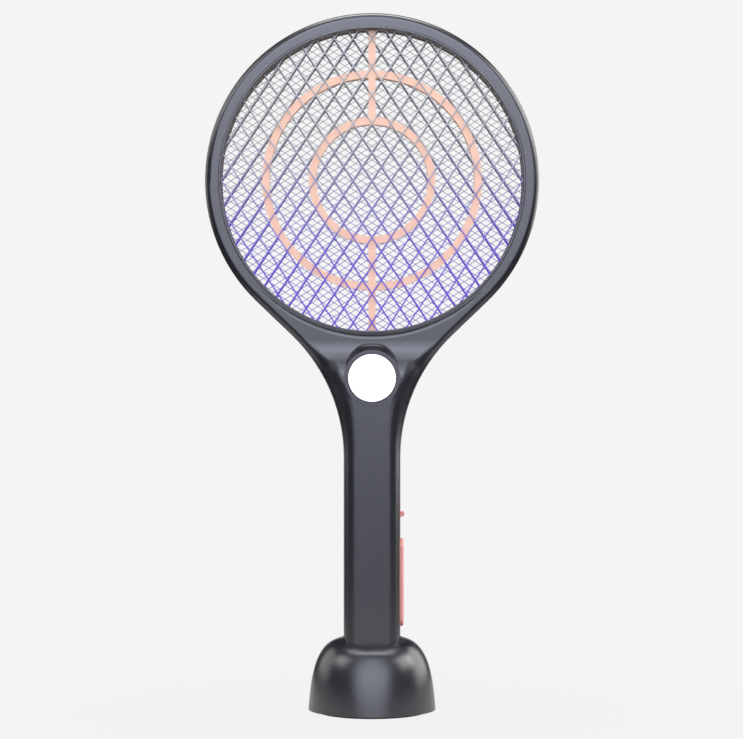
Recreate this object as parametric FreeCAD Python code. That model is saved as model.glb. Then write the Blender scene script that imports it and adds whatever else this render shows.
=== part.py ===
import FreeCAD, Part

import math
import os

from FreeCAD import Placement, Rotation, Vector

# An electric fly swatter standing in its charging base.
#
# The origin is the centre of the base's underside. +X is to the user's right, -Y is
# the front, which the torch looks to, and +Z is up. All lengths are in millimetres.

# ---------------------------------------------------------------- driving dimensions

# outer form of the swatter
head_radius = 112.0          # outside of the round head
rim_width = 11.2             # from the outside of the head to its opening
rim_depth = 20.0             # front to back of the head's rim
rim_rounding = 4.2           # rounding of the rim's outer edges
rim_bead_width = 1.8         # raised bead round the opening
rim_bead_height = 0.6
rim_bead_rounding = 0.5
wall_draft = 4.0             # degrees by which the outer walls lean in from the parting plane
groove_radius = 5.0          # hollow beside the bead, where the neck swells from the rim
groove_depth = 0.26          # at its lowest point
groove_land = 0.5            # flat left between the bead and the hollow
groove_spread = 50.0         # degrees to each side over which it runs out
handle_width = 38.0
handle_depth = 36.0
handle_rounding = 7.9        # rounding of the handle's four long edges
throat_rounding = 11.8       # the same beside the torch
least_rounding = 0.4         # inside edges are rounded at least this much
shoulder_height = 170.0      # where the straight handle starts to flare
flare_radius = 114.0         # hollow curve from the handle out towards the head
neck_straight = 32.0         # straight stretch between that curve and the head's round
neck_top_rise = 4.5          # the neck is as thin as the rim this far above the head's foot
neck_length = 28.0           # from there down to where the neck is as deep as the handle
handle_foot = 18.0           # lower end of the handle when it stands in the base
wall = 2.2                   # plastic wall of the two housings
lip_cover = 0.8              # how far the housings' lips cover the net hoops

# nets
guard_wire = 0.95            # wire diameter of the two outer nets
guard_mesh_width = 12.6      # one diamond, side to side
guard_mesh_height = 19.0
live_wire = 0.4              # wire diameter of the high-voltage net between them
live_mesh_width = 7.28
live_mesh_height = 4.67
live_tag_place = 3.0         # tag on the live net's hoop, right of the middle
live_tag_width = 3.0
live_tag_length = 2.4        # below the spacers' hoops
net_gap = 0.05               # play between the layers of the net stack
net_hoop_width = 2.9         # flat metal hoop that each net is welded to
net_hoop_inset = 0.3         # from the outside of the spacer's hoop

# spacers between the nets
spider_thickness = 4.0
spider_hoop_width = 3.9
spider_boss_gap = 0.4        # between the hoops and the screw posts in the rim
inner_ring_radius = 39.9     # middle of the small ring
outer_ring_radius = 71.0     # middle of the large ring
ring_width = 5.0
bar_width = 4.7

# lure lamps in the bottom of the head
lure_angles = (-28.0, -18.0, -8.0, 8.0, 18.0, 28.0)
lure_diameter = 3.0
lure_play = 0.05             # round each lamp in its hole
lure_flange = 3.8
lure_flange_thickness = 0.75
lure_tip_inset = 0.2         # tips of the lamps behind the inside of the hoop
lure_strip_width = 3.6
lure_strip_thickness = 0.6
lure_strip_angle = 34.0

# torch
torch_drop = 20.1            # centre of the torch below the head's lowest point
torch_lens_diameter = 31.6
torch_lens_thickness = 2.0
torch_lens_rounding = 0.5
torch_play = 0.05            # round the lens and round its bezel
torch_bezel_width = 1.0
torch_bezel_depth = 5.0
torch_bezel_ledge = 1.2      # ledge that the lens sits on
torch_proud = 0.6            # lens face in front of the handle's front face
torch_collar_radius = 23.8   # foot of the raised collar round the torch
torch_collar_depth = 8.2
torch_collar_lip = 0.3       # flat top of the collar, round its bore
torch_lip_rounding = 1.4
torch_shoulder_fall = 1.2    # depth of the rounded lip, as a share of its rounding
torch_shoulder_bulge = (0.68, 0.34)  # shares of the rounding out and back to the lip's middle
torch_knee_inset = 2.9       # where the flank turns into the hollow, inside the foot's radius
torch_knee_share = 0.76      # share of the collar's depth at which it does
torch_hollow_inset = 1.5     # middle of the hollow, inside the foot's radius
torch_hollow_share = 0.965   # share of the collar's depth at the hollow's middle
torch_foot_reach = 0.8       # end of the hollow, outside the foot's radius
torch_foot_fall = 0.7        # end of the hollow, behind the collar's depth
torch_sleeve_wall = 1.8      # wall of the bore behind the collar
reflector_depth = 9.5
reflector_throat = 4.2
reflector_skin = 0.8
reflector_play = 0.1         # between the reflector's mouth and the lens's ledge
reflector_collar = 1.0       # thickness of the ring that the bezel clamps
reflector_collar_play = 0.3
reflector_collar_reach = 4.0
torch_board_radius = 12.0
torch_board_thickness = 1.2
torch_lamp_size = 5.0
torch_lamp_height = 0.8
torch_lamp_dome = 1.8

# trigger button on the right side
trigger_rise = 68.5          # middle of the button above the handle's foot
trigger_length = 59.0
trigger_width = 12.0
trigger_proud = 2.2
trigger_travel = 1.5
trigger_flange = 1.6
trigger_flange_lip = 1.5     # how far the flange reaches behind the wall
trigger_flange_gap = 0.2     # between the flange and the wall
trigger_rounding = 1.6
trigger_post_radius = 2.4
trigger_post_gap = 0.1       # left over the tact switch at the end of the travel
button_play = 0.25

# slide switch on the right side
switch_rise = 51.5           # middle of the plate above the middle of the trigger
switch_plate_length = 19.0
switch_plate_width = 9.6
switch_plate_corner = 2.6
switch_plate_wall = 0.9
switch_dish_depth = 0.8
switch_flange = 1.2
switch_flange_lip = 1.0
switch_flange_gap = 0.1      # between the flange and the wall
switch_plate_play = 0.1      # round the plate in its window
knob_rest = 5.8              # the knob's off position below the middle of the plate
knob_length = 3.5
knob_width = 5.6
knob_proud = 2.6
switch_travel = 9.4          # off, torch and lure lamp, 4.7 apart
knob_stem_length = 2.4
knob_stem_width = 2.6
knob_rounding = 1.2
knob_gap = 0.15              # between the knob and the floor of the dish
knob_slot_play = 0.3         # round the stem in its slot
switch_body_length = 19.0
switch_body_width = 6.4
switch_body_height = 5.5
switch_lever = 2.0
switch_lever_foot = 2.0      # the lever starts this high above the board
switch_lever_play = 0.2
switch_lever_proud = 0.3     # above the switch body, where the knob's stem takes over

# electronics in the handle
board_gap = 10.0             # from the right wall to the upright circuit board
board_thickness = 1.6
board_width = 26.0
board_rise = 32.0            # lower end of the board above the handle's foot
board_length = 110.0
board_groove = 1.0           # how deep the ribs hold the board's edges
board_rib_offsets = (22.0, 72.0, 104.0)  # above the board's lower end
board_rib_thickness = 2.0
board_rib_cheek = 1.6
cell_diameter = 18.2
cell_length = 65.0
cell_side_gap = 1.3          # between the cell and the left wall
cell_rise = 9.0              # bottom of the cell above the handle's foot
cell_play = 0.1
cell_rounding = 0.8
cell_cap_radius = 3.2
cell_cap_height = 0.8
saddle_inset = 12.0          # from each end of the cell
saddle_thickness = 2.4
saddle_width = 16.0
tab_thickness = 0.3
tab_width = 6.0
tab_gap = 0.6                # between the tabs and the board
tact_size = 6.0
tact_height = 4.3
tact_stem_radius = 1.75
tact_stem_height = 1.0
core_depth = 6.0             # ferrite core of the transformer
core_width = 13.0
core_height = 12.0
core_limb = 2.2
core_above_cell = 14.0       # from the cell's top to the core's middle
core_gap = 1.0               # between the core and the board
bobbin_wall = 0.8
bobbin_play = 0.2
winding_proud = 4.2          # how far the winding stands out of the core, front and rear
capacitor_above_cell = 30.0
capacitor_size = (12.0, 18.0, 8.0)
capacitor_rounding = 0.8
diode_above_cell = 40.0
diode_pitch = 4.2
diode_radius = 1.35
diode_ends = (-6.0, -1.0)
diode_count = 4
chip_offset = 4.0
chip_size = (1.5, 4.0, 5.0)
chip_places = (-7.0, 3.0)
transistor_radius = 2.3
transistor_height = 4.0
transistor_flat = 1.1        # from its axis to its flat side
transistor_side = 6.0
transistor_above_cell = 42.0
lead_radius = 0.5
lead_bend = 6.0
net_lead_drop = 43.0         # where the net leads leave the wall, below the neck's top
lamp_lead_drop = 58.0
lead_gap = 0.05

# screws
screw_radius = 1.1
screw_head_radius = 2.0
screw_head_height = 1.3
screw_length = 12.0
screw_seat = 8.5             # depth of the head's seat behind the parting plane
screw_play = 0.15
screw_hole_spare = 0.5       # the post's hole goes on past the screw's point
screw_head_rounding = 0.4
screw_drive_reach = 1.2
screw_drive_width = 0.5
screw_drive_depth = 0.7
ring_screw_angles = (90.0, 30.0, 150.0, -28.0, 208.0)
ring_boss_radius = 2.2
ring_boss_inset = 4.5        # from the outside of the head to the screw's axis
handle_boss_radius = 3.2
middle_screw_rise = 12.0     # above the circuit board
foot_screw_rise = 20.0       # above the handle's foot
foot_screw_inset = 9.6       # from the handle's right side
neck_screw_offset = 25.0
neck_screw_drop = 7.5        # below the head's lowest point

# end cap with the charging pads
cap_thickness = 3.0
cap_tongue = 1.0
cap_tongue_height = 1.0
cap_play = 0.1
pad_spacing = 16.0
pad_radius = 3.2
pad_thickness = 1.0
pad_stem_radius = 1.2
pad_stem_length = 4.4
pad_play = 0.05

# charging base
base_half_width = 42.74
base_half_depth = 40.4
base_profile_height = 50.4   # height that the side profile would close at
base_front_profile_height = 47.6
base_top = 49.6              # rim of the socket at the left and right
base_draft = 0.1             # share by which the sides lean in over the whole height
base_profile_power = 3.2
base_profile_root = 4.4
base_front_level = 0.992     # share of the front profile above which it stays level
base_squareness = 0.5        # how much the level sections square up by the top
base_underside = 1.5         # the shell ends above the table
base_wall = 2.4
dock_play = 0.35             # round the handle in its socket
dock_gap = 0.3               # under the handle in its socket
liner_wall = 1.6
liner_floor = 1.5
plate_thickness = 2.0
plate_play = 0.2
ballast_gap = 0.4            # between the ballast and the screw bosses
ballast_thickness = 5.0
foot_ring_inset = 3.4        # from the front of the base to the rubber ring
foot_ring_width = 3.4
foot_ring_recess = 0.6       # how deep the ring sits in its groove
foot_ring_play = 0.05
charge_board_width = 24.0
charge_board_front = -12.0
charge_board_back = 34.0
charge_board_thickness = 1.2
standoff_height = 5.8
standoff_radius = 2.0
standoff_places = ((-9.0, -8.0), (9.0, -8.0), (-9.0, 22.0), (9.0, 22.0))
base_screw_inset = 2.8       # from the inside of the rubber ring to the screws
base_screw_angles = (45.0, 135.0, 225.0, 315.0)
base_boss_radius = 3.0
base_hole_spare = 0.3        # left beyond the points of the base's screws
base_screw_head_recess = 1.2
base_screw_bite = 8.0        # length of the base's screws under their heads
liner_play = 0.1             # between the socket's liner and the shell's wall
standoff_play = 0.3
foot_ring_rounding = 0.3

# charging contacts
contact_tip_radius = 1.1
contact_flange_radius = 1.7
contact_flange_height = 0.8
contact_travel = 0.8
contact_play = 0.15
contact_tip_rounding = 0.5
contact_tip_below = 0.2      # the tips rest this far under the handle
contact_tail_radius = 0.7
contact_tail_spare = 0.3     # under the tail at the end of the travel
contact_block_width = 24.0
contact_block_depth = 7.0
contact_block_floor = 1.0

# charging inlet
usb_width = 8.94
usb_height = 3.16
usb_length = 7.3
usb_shell = 0.3
usb_tongue_width = 6.7
usb_tongue_thickness = 0.7
usb_tongue_length = 4.5
usb_slot_play = 0.4
usb_wall = 1.0               # closed rear end of the shell
usb_proud = 4.8              # mouth of the inlet past the board's rear edge

# springs
spring_wire = 0.4
spring_wire_sides = 8
trigger_spring_radius = 1.9
trigger_spring_turns = 4
trigger_spring_spacing = 45.0
contact_spring_radius = 1.4
contact_spring_turns = 4
spring_gap = 0.05            # at each end of a spring

# ------------------------------------------------------------------- derived values

opening_radius = head_radius - rim_width
rim_half = rim_depth / 2.0
handle_half_width = handle_width / 2.0
handle_half_depth = handle_depth / 2.0
inner_wall = handle_half_width - wall
plate_reach = handle_depth   # to each side, past every face that is cut from the plate
flare_reach = head_radius + flare_radius
flare_side = handle_half_width + flare_radius
head_height = shoulder_height + math.sqrt(flare_reach ** 2 + neck_straight ** 2 - flare_side ** 2)
head_foot = head_height - head_radius
neck_top = head_foot + neck_top_rise
neck_bottom = neck_top - neck_length
torch_height = head_foot - torch_drop
spider_hoop_outer = head_radius - ring_boss_inset - ring_boss_radius - spider_boss_gap
spider_hoop_inner = spider_hoop_outer - spider_hoop_width
net_hoop_outer = spider_hoop_outer - net_hoop_inset
net_hoop_inner = net_hoop_outer - net_hoop_width
trigger_height = handle_foot + trigger_rise
switch_height = trigger_height + switch_rise
knob_height = switch_height - knob_rest
board_face = inner_wall - board_gap
board_bottom = handle_foot + board_rise
board_top = board_bottom + board_length
live_half = live_wire
spider_front = live_half + net_gap
spider_back = spider_front + spider_thickness
guard_front = spider_back + net_gap
guard_back = guard_front + 2.0 * guard_wire
lip_back = guard_back + net_gap
torch_face = handle_half_depth + torch_proud
torch_hole = torch_lens_diameter / 2.0 + torch_bezel_width
board_back = board_face - board_thickness
cell_radius = cell_diameter / 2.0
cell_offset = cell_radius + cell_side_gap - inner_wall
cell_bottom = handle_foot + cell_rise
cell_top = cell_bottom + cell_length
foot_ring_outer = base_half_depth - foot_ring_inset
foot_ring_inner = foot_ring_outer - foot_ring_width
base_screw_circle = foot_ring_inner - base_screw_inset
base_hole_end = base_underside + base_screw_head_recess + base_screw_bite + base_hole_spare
ballast_radius = base_screw_circle - base_boss_radius - ballast_gap
liner_floor_top = handle_foot - dock_gap
liner_floor_bottom = liner_floor_top - liner_floor
plate_top = base_underside + plate_thickness
charge_board_bottom = plate_top + standoff_height
charge_board_top = charge_board_bottom + charge_board_thickness
contact_block_top = liner_floor_bottom
contact_flange_top = liner_floor_bottom - contact_tip_below
contact_well_floor = charge_board_top + contact_block_floor
usb_middle = charge_board_top + usb_height / 2.0
usb_mouth = charge_board_back + usb_proud
hoop_foot = head_height - spider_hoop_outer
live_tag_bottom = hoop_foot - live_tag_length
lure_depth = spider_front + spider_thickness / 2.0
lure_strip_inner = spider_hoop_outer + lure_flange_thickness
torch_board_depth = torch_lens_thickness + reflector_depth
tact_top = board_face + tact_height + tact_stem_height
trigger_flange_face = inner_wall - trigger_flange_gap
switch_body_top = board_face + switch_body_height
knob_slot_middle = knob_height + switch_travel / 2.0
lead_line = board_back - lead_radius - lead_gap
lead_start = board_top - 8.0

# ------------------------------------------------------------------ general helpers


def box(low, high):
    size = [b - a for a, b in zip(low, high)]
    return Part.makeBox(size[0], size[1], size[2], Vector(*low))


def rod(start, end, radius):
    """A straight cylinder between two points."""
    start, end = Vector(*start), Vector(*end)
    return Part.makeCylinder(radius, (end - start).Length, start, end - start)


def cone(start, end, start_radius, end_radius):
    start, end = Vector(*start), Vector(*end)
    return Part.makeCone(start_radius, end_radius, (end - start).Length, start, end - start)


def ring(inner, outer, front, back, centre=(0.0, head_height)):
    """A flat ring round an axis along Y, between two depths."""
    start, end = (centre[0], front, centre[1]), (centre[0], back, centre[1])
    return rod(start, end, outer).cut(rod(start, end, inner))


def stadium(length, width, near, far, middle):
    """A plate with round ends, long along Z, between two places on X."""
    straight = (length - width) / 2.0
    low, high = middle - straight, middle + straight
    plate = box((near, -width / 2.0, low), (far, width / 2.0, high))
    for end in (low, high):
        plate = plate.fuse(rod((near, 0.0, end), (far, 0.0, end), width / 2.0))
    return plate.removeSplitter()


def rounded_plate(length, width, corner, near, far, middle):
    """A plate with rounded corners, long along Z, between two places on X."""
    low, high = middle - length / 2.0, middle + length / 2.0
    plate = box((near, -width / 2.0, low), (far, width / 2.0, high))
    upright = [edge for edge in plate.Edges if abs(edge.tangentAt(edge.FirstParameter).x) > 0.5]
    return plate.makeFillet(corner, upright)


def joined(pieces):
    shape = pieces[0].fuse(pieces[1:]) if len(pieces) > 1 else pieces[0]
    return shape.removeSplitter()


def lead(points, bend=lead_bend, radius=lead_radius):
    """A round wire along straight runs joined by tangent arcs."""
    points = [Vector(*point) for point in points]
    longest_share = 0.45
    edges = []
    start = points[0]
    for before, corner, after in zip(points, points[1:], points[2:]):
        arrive = (corner - before).normalize()
        leave = (after - corner).normalize()
        half_turn = arrive.getAngle(leave) / 2.0
        shorter = min((corner - before).Length, (after - corner).Length)
        reach = min(bend * math.tan(half_turn), longest_share * shorter)
        arc_start = corner - arrive * reach
        arc_end = corner + leave * reach
        towards = (leave - arrive).normalize()
        arc_radius = reach / math.tan(half_turn)
        middle = corner + towards * (arc_radius / math.cos(half_turn) - arc_radius)
        edges.append(Part.LineSegment(start, arc_start).toShape())
        edges.append(Part.Arc(arc_start, middle, arc_end).toShape())
        start = arc_end
    edges.append(Part.LineSegment(start, points[-1]).toShape())
    profile = Part.Wire([Part.makeCircle(radius, points[0], points[1] - points[0])])
    return Part.Wire(edges).makePipeShell([profile], True, True)


def coil_spring(radius, height, turns, start, direction):
    """A coil spring of the given outer height, standing on its start point."""
    rise = height - spring_wire
    pitch = rise / turns
    helix = Part.makeHelix(pitch, rise, radius)
    outwards = Vector(1, 0, 0)
    across = Vector(0, 2.0 * math.pi * radius, pitch).normalize().cross(outwards)
    corners = []
    for number in range(spring_wire_sides):
        turn = 2.0 * math.pi * (number + 0.5) / spring_wire_sides
        way = outwards * math.cos(turn) + across * math.sin(turn)
        corners.append(outwards * radius + way * (spring_wire / 2.0))
    profile = Part.makePolygon(corners + corners[:1])
    coil = Part.Wire(helix.Edges).makePipeShell([profile], True, False)
    coil.translate(Vector(0, 0, spring_wire / 2.0))
    stand = Placement(Vector(*start), Rotation(Vector(0, 0, 1), Vector(*direction)))
    coil.Placement = stand.multiply(coil.Placement)
    return coil


def mirrored_in_depth(shape):
    return shape.mirror(Vector(0, 0, 0), Vector(0, 1, 0))


# ------------------------------------------------------------ outer form of the body


def front_outline(inset, bottom):
    """The swatter's outline from the front, drawn inwards by an inset."""
    half = handle_half_width - inset
    head = head_radius - inset
    flare = flare_radius + inset
    centre = Vector(handle_half_width + flare_radius, 0, shoulder_height)
    head_centre = Vector(0, 0, head_height)
    across = centre - head_centre
    lean = math.atan2(across.z, across.x) + math.acos((head + flare) / across.Length)
    normal = Vector(math.cos(lean), 0, math.sin(lean))
    on_head = head_centre + normal * head
    on_flare = centre - normal * flare
    half_lean = lean / 2.0
    flare_middle = centre - Vector(math.cos(half_lean), 0, math.sin(half_lean)) * flare
    shoulder = Vector(half, 0, shoulder_height)
    foot = Vector(half, 0, bottom)
    crown = head_centre + Vector(0, 0, head)

    def left(point):
        return Vector(-point.x, 0, point.z)

    return Part.Wire([
        Part.LineSegment(foot, shoulder).toShape(),
        Part.Arc(shoulder, flare_middle, on_flare).toShape(),
        Part.LineSegment(on_flare, on_head).toShape(),
        Part.Arc(on_head, crown, left(on_head)).toShape(),
        Part.LineSegment(left(on_head), left(on_flare)).toShape(),
        Part.Arc(left(on_flare), left(flare_middle), left(shoulder)).toShape(),
        Part.LineSegment(left(shoulder), left(foot)).toShape(),
        Part.LineSegment(left(foot), foot).toShape(),
    ])


def side_outline(inset, bottom):
    """The outline from the side: a deep handle that thins into the rim over two arcs."""
    step = handle_half_depth - rim_half
    length = neck_top - neck_bottom
    radius = (length ** 2 + step ** 2) / (4.0 * step)
    sweep = 2.0 * math.atan2(step, length)
    top = head_height + head_radius + rim_depth

    def on_arc(centre, arc_radius, angle):
        across, up = math.cos(angle), math.sin(angle)
        return Vector(0, centre[0] + arc_radius * across, centre[1] + arc_radius * up)

    lower = (radius - handle_half_depth, neck_bottom)
    upper = (-radius - rim_half, neck_top)
    lower_arc = [on_arc(lower, radius - inset, math.pi - share * sweep) for share in (0.0, 0.5, 1.0)]
    upper_arc = [on_arc(upper, radius + inset, -share * sweep) for share in (1.0, 0.5, 0.0)]
    foot = Vector(0, inset - handle_half_depth, bottom)
    crown = Vector(0, inset - rim_half, top)

    def back(point):
        return Vector(0, -point.y, point.z)

    return Part.Wire([
        Part.LineSegment(foot, lower_arc[0]).toShape(),
        Part.Arc(*lower_arc).toShape(),
        Part.Arc(*upper_arc).toShape(),
        Part.LineSegment(upper_arc[2], crown).toShape(),
        Part.LineSegment(crown, back(crown)).toShape(),
        Part.LineSegment(back(crown), back(upper_arc[2])).toShape(),
        Part.Arc(*[back(point) for point in reversed(upper_arc)]).toShape(),
        Part.Arc(*[back(point) for point in reversed(lower_arc)]).toShape(),
        Part.LineSegment(back(lower_arc[0]), back(foot)).toShape(),
        Part.LineSegment(back(foot), foot).toShape(),
    ])


def share_between(value, low, high):
    """How far a value lies from low to high, held between 0 and 1."""
    return min(max((value - low) / (high - low), 0.0), 1.0)


def edge_rounding(height, inset):
    """The rounding of the long edges, which grows beside the torch and shrinks into the rim."""
    throat = share_between(height, shoulder_height, neck_bottom)
    rim = share_between(height, neck_bottom, neck_top)
    radius = handle_rounding + (throat_rounding - handle_rounding) * throat
    radius += (rim_rounding - throat_rounding) * rim
    return max(radius - inset, least_rounding)


def outline_plate(inset, bottom):
    """The outline as a plate: its outer walls lean in from the parting plane, its inner ones don't."""
    halves = []
    for side in (-1.0, 1.0):
        lean = plate_reach * math.tan(math.radians(wall_draft)) if inset <= 0.0 else 0.0
        face = front_outline(inset + lean, bottom)
        face.translate(Vector(0, side * plate_reach, 0))
        halves.append(Part.makeLoft([front_outline(inset, bottom), face], True, True))
    return halves[0].fuse(halves[1]).removeSplitter()


def body_form(inset=0.0, bottom=handle_foot):
    """The whole swatter as one closed form, drawn inwards by an inset."""
    reach = handle_depth + 2.0 * head_radius
    plate = outline_plate(inset, bottom)
    slab = Part.Face(side_outline(inset, bottom)).extrude(Vector(2.0 * reach, 0, 0))
    slab.translate(Vector(-reach, 0, 0))
    block = plate.common(slab).removeSplitter().Solids[0]
    document = FreeCAD.newDocument("form")
    sharp = document.addObject("Part::Feature", "sharp")
    sharp.Shape = block
    rounded = document.addObject("Part::Fillet", "rounded")
    rounded.Base = sharp
    numbers = {-1.0: [], 1.0: []}
    for number, edge in enumerate(block.Edges, 1):
        start, end = edge.valueAt(edge.FirstParameter), edge.valueAt(edge.LastParameter)
        middle = edge.valueAt((edge.FirstParameter + edge.LastParameter) / 2.0)
        level = abs(start.z - end.z) < 1e-6 and abs(middle.z - start.z) < 1e-6
        if not level and abs(middle.y) > 1e-6:
            numbers[math.copysign(1.0, middle.y)].append((number, middle.x, edge))
    # along each chain of tangent edges the radii follow the way its first edge runs
    long_edges = []
    for chain in numbers.values():
        leader = chain[0][2]
        falls = leader.valueAt(leader.FirstParameter).z > leader.valueAt(leader.LastParameter).z
        runs_down_right = falls == (chain[0][1] > 0.0)
        for number, across, edge in chain:
            low, high = sorted(edge.valueAt(end).z for end in edge.ParameterRange)
            first, last = (high, low) if runs_down_right == (across > 0.0) else (low, high)
            long_edges.append((number, edge_rounding(first, inset), edge_rounding(last, inset)))
    rounded.Edges = long_edges
    document.recompute()
    form = rounded.Shape.Solids[0]
    FreeCAD.closeDocument(document.Name)
    return form


def front_depth(height):
    """How far the neck's front face lies in front of the parting plane."""
    step = handle_half_depth - rim_half
    length = neck_top - neck_bottom
    radius = (length ** 2 + step ** 2) / (4.0 * step)
    if height >= neck_top:
        return rim_half
    if height <= neck_bottom:
        return handle_half_depth
    if height > (neck_top + neck_bottom) / 2.0:
        return rim_half + radius - math.sqrt(radius ** 2 - (neck_top - height) ** 2)
    return handle_half_depth - radius + math.sqrt(radius ** 2 - (height - neck_bottom) ** 2)


def screw_axes():
    """Places of the housing screws, as X, Z and boss radius."""
    on_ring = head_radius - ring_boss_inset
    axes = []
    for angle in ring_screw_angles:
        turn = math.radians(angle)
        axes.append((on_ring * math.cos(turn), head_height + on_ring * math.sin(turn), ring_boss_radius))
    for side in (-1.0, 1.0):
        axes.append((side * neck_screw_offset, head_foot - neck_screw_drop, handle_boss_radius))
    axes.append((0.0, board_top + middle_screw_rise, handle_boss_radius))
    axes.append((handle_half_width - foot_screw_inset, handle_foot + foot_screw_rise, handle_boss_radius))
    return axes


# ------------------------------------------------------------------------- housings


def turned(outline, level):
    """A closed outline in the XY plane, turned about the line through the level that runs front to back."""
    face = Part.Face(Part.Wire(outline))
    return face.revolve(Vector(0, 0, level), Vector(0, 1, 0), 360.0)


def rim_bead(side):
    """The raised bead round the opening on one face of the rim, with rounded edges."""
    inner, outer = opening_radius, opening_radius + rim_bead_width
    foot = side * (rim_half - wall / 2.0)
    crown = side * (rim_half + rim_bead_height)
    bend = side * rim_bead_rounding
    chord = rim_bead_rounding * (1.0 - math.sqrt(0.5))

    def at(radius, depth):
        return Vector(radius, depth, head_height)

    near, far = at(inner + rim_bead_rounding, crown), at(outer - rim_bead_rounding, crown)
    outline = [
        Part.LineSegment(at(inner, foot), at(inner, crown - bend)).toShape(),
        Part.Arc(at(inner, crown - bend), at(inner + chord, crown - side * chord), near).toShape(),
        Part.LineSegment(near, far).toShape(),
        Part.Arc(far, at(outer - chord, crown - side * chord), at(outer, crown - bend)).toShape(),
        Part.LineSegment(at(outer, crown - bend), at(outer, foot)).toShape(),
        Part.LineSegment(at(outer, foot), at(inner, foot)).toShape(),
    ]
    return turned(outline, head_height)


def swell_groove():
    """The hollow between the bead and the neck: a ring leaning so that it runs out up both sides."""
    half = math.sqrt(groove_radius ** 2 - (groove_radius - groove_depth) ** 2)
    reach = opening_radius + rim_bead_width + groove_land + half
    rise = reach * (1.0 - math.cos(math.radians(groove_spread)))
    foot = Vector(0, -rim_half - groove_radius + groove_depth, head_height - reach)
    ring_form = Part.makeTorus(reach, groove_radius, Vector(0, foot.y, head_height), Vector(0, 1, 0))
    lean = math.degrees(math.atan2(groove_depth, rise))
    ring_form.rotate(foot, Vector(1, 0, 0), lean)
    low = box((-reach, foot.y - groove_radius, foot.z - groove_radius), (reach, 0, foot.z + rise))
    return ring_form.common(low)


def hollow_shell(outer, inner):
    """The common wall of both housings: hollow, open at the head and the foot."""
    shell = outer.cut(inner)
    reach = 2.0 * handle_half_depth
    shell = shell.cut(rod((0, -reach, head_height), (0, reach, head_height), opening_radius))
    lip_outer = net_hoop_inner + lip_cover
    pieces = [shell]
    for side in (-1.0, 1.0):
        near, far = sorted((side * lip_back, side * (rim_half - wall / 2.0)))
        pieces.append(ring(opening_radius, lip_outer, near, far))
        pieces.append(rim_bead(side))
    return joined(pieces).cut(swell_groove())


def side_windows():
    """Holes in the right wall for the trigger and the slide switch."""
    near, far = handle_half_width - 2.0 * wall, handle_half_width + wall
    trigger = stadium(trigger_length + 2.0 * button_play, trigger_width + 2.0 * button_play,
                      near, far, trigger_height)
    switch = rounded_plate(switch_plate_length, switch_plate_width, switch_plate_corner,
                           near, far, switch_height)
    return trigger.fuse(switch)


def cap_groove():
    """The groove that the end cap's tongue sits in, in both housings."""
    low = handle_foot + (cap_thickness - cap_tongue_height) / 2.0 - cap_play
    high = low + cap_tongue_height + 2.0 * cap_play
    outer = body_form(wall - cap_tongue - cap_play)
    reach = handle_width
    return outer.common(box((-reach, -reach, low), (reach, reach, high)))


def ribs(form, side):
    """Board grooves and saddles for the cell, standing on one housing's flat wall."""
    depth = handle_half_depth
    board_edge = board_width / 2.0
    pieces = []
    for offset in board_rib_offsets:
        low = board_bottom + offset - board_rib_thickness / 2.0
        high = low + board_rib_thickness
        block = box((board_back - board_rib_cheek, -depth, low),
                    (board_face + board_rib_cheek, board_groove - board_edge, high))
        pieces.append(block.cut(box((board_back, -board_edge, low), (board_face, 0, high))))
    for middle in (cell_bottom + saddle_inset, cell_top - saddle_inset):
        low, high = middle - saddle_thickness / 2.0, middle + saddle_thickness / 2.0
        block = box((cell_offset - saddle_width / 2.0, -depth, low),
                    (cell_offset + saddle_width / 2.0, -cell_radius / 2.0, high))
        bed = rod((cell_offset, 0, low), (cell_offset, 0, high), cell_radius + cell_play)
        pieces.append(block.cut(bed))
    shape = Part.makeCompound(pieces)
    if side > 0:
        shape = mirrored_in_depth(shape)
    return [piece.common(form) for piece in shape.Solids]


def half_space(side):
    reach = 3.0 * head_radius
    near, far = sorted((0.0, side * reach))
    return box((-reach, near, -10.0), (reach, far, 3.0 * reach))


def torch_collar():
    """The raised collar round the torch: a rounded lip, a steep flank and a hollow foot."""
    face = -torch_face

    def at(radius, depth):
        return Vector(radius, depth, torch_height)

    lip = torch_hole + torch_collar_lip
    out, back = (share * torch_lip_rounding for share in torch_shoulder_bulge)
    shoulder = at(lip + torch_lip_rounding, face + torch_shoulder_fall * torch_lip_rounding)
    knee = at(torch_collar_radius - torch_knee_inset, face + torch_knee_share * torch_collar_depth)
    hollow = at(torch_collar_radius - torch_hollow_inset, face + torch_hollow_share * torch_collar_depth)
    foot = at(torch_collar_radius + torch_foot_reach, face + torch_collar_depth + torch_foot_fall)
    outline = [
        Part.LineSegment(at(0, face), at(lip, face)).toShape(),
        Part.Arc(at(lip, face), at(lip + out, face + back), shoulder).toShape(),
        Part.LineSegment(shoulder, knee).toShape(),
        Part.Arc(knee, hollow, foot).toShape(),
        Part.LineSegment(foot, at(0, foot.y)).toShape(),
        Part.LineSegment(at(0, foot.y), at(0, face)).toShape(),
    ]
    return turned(outline, torch_height)


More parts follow.
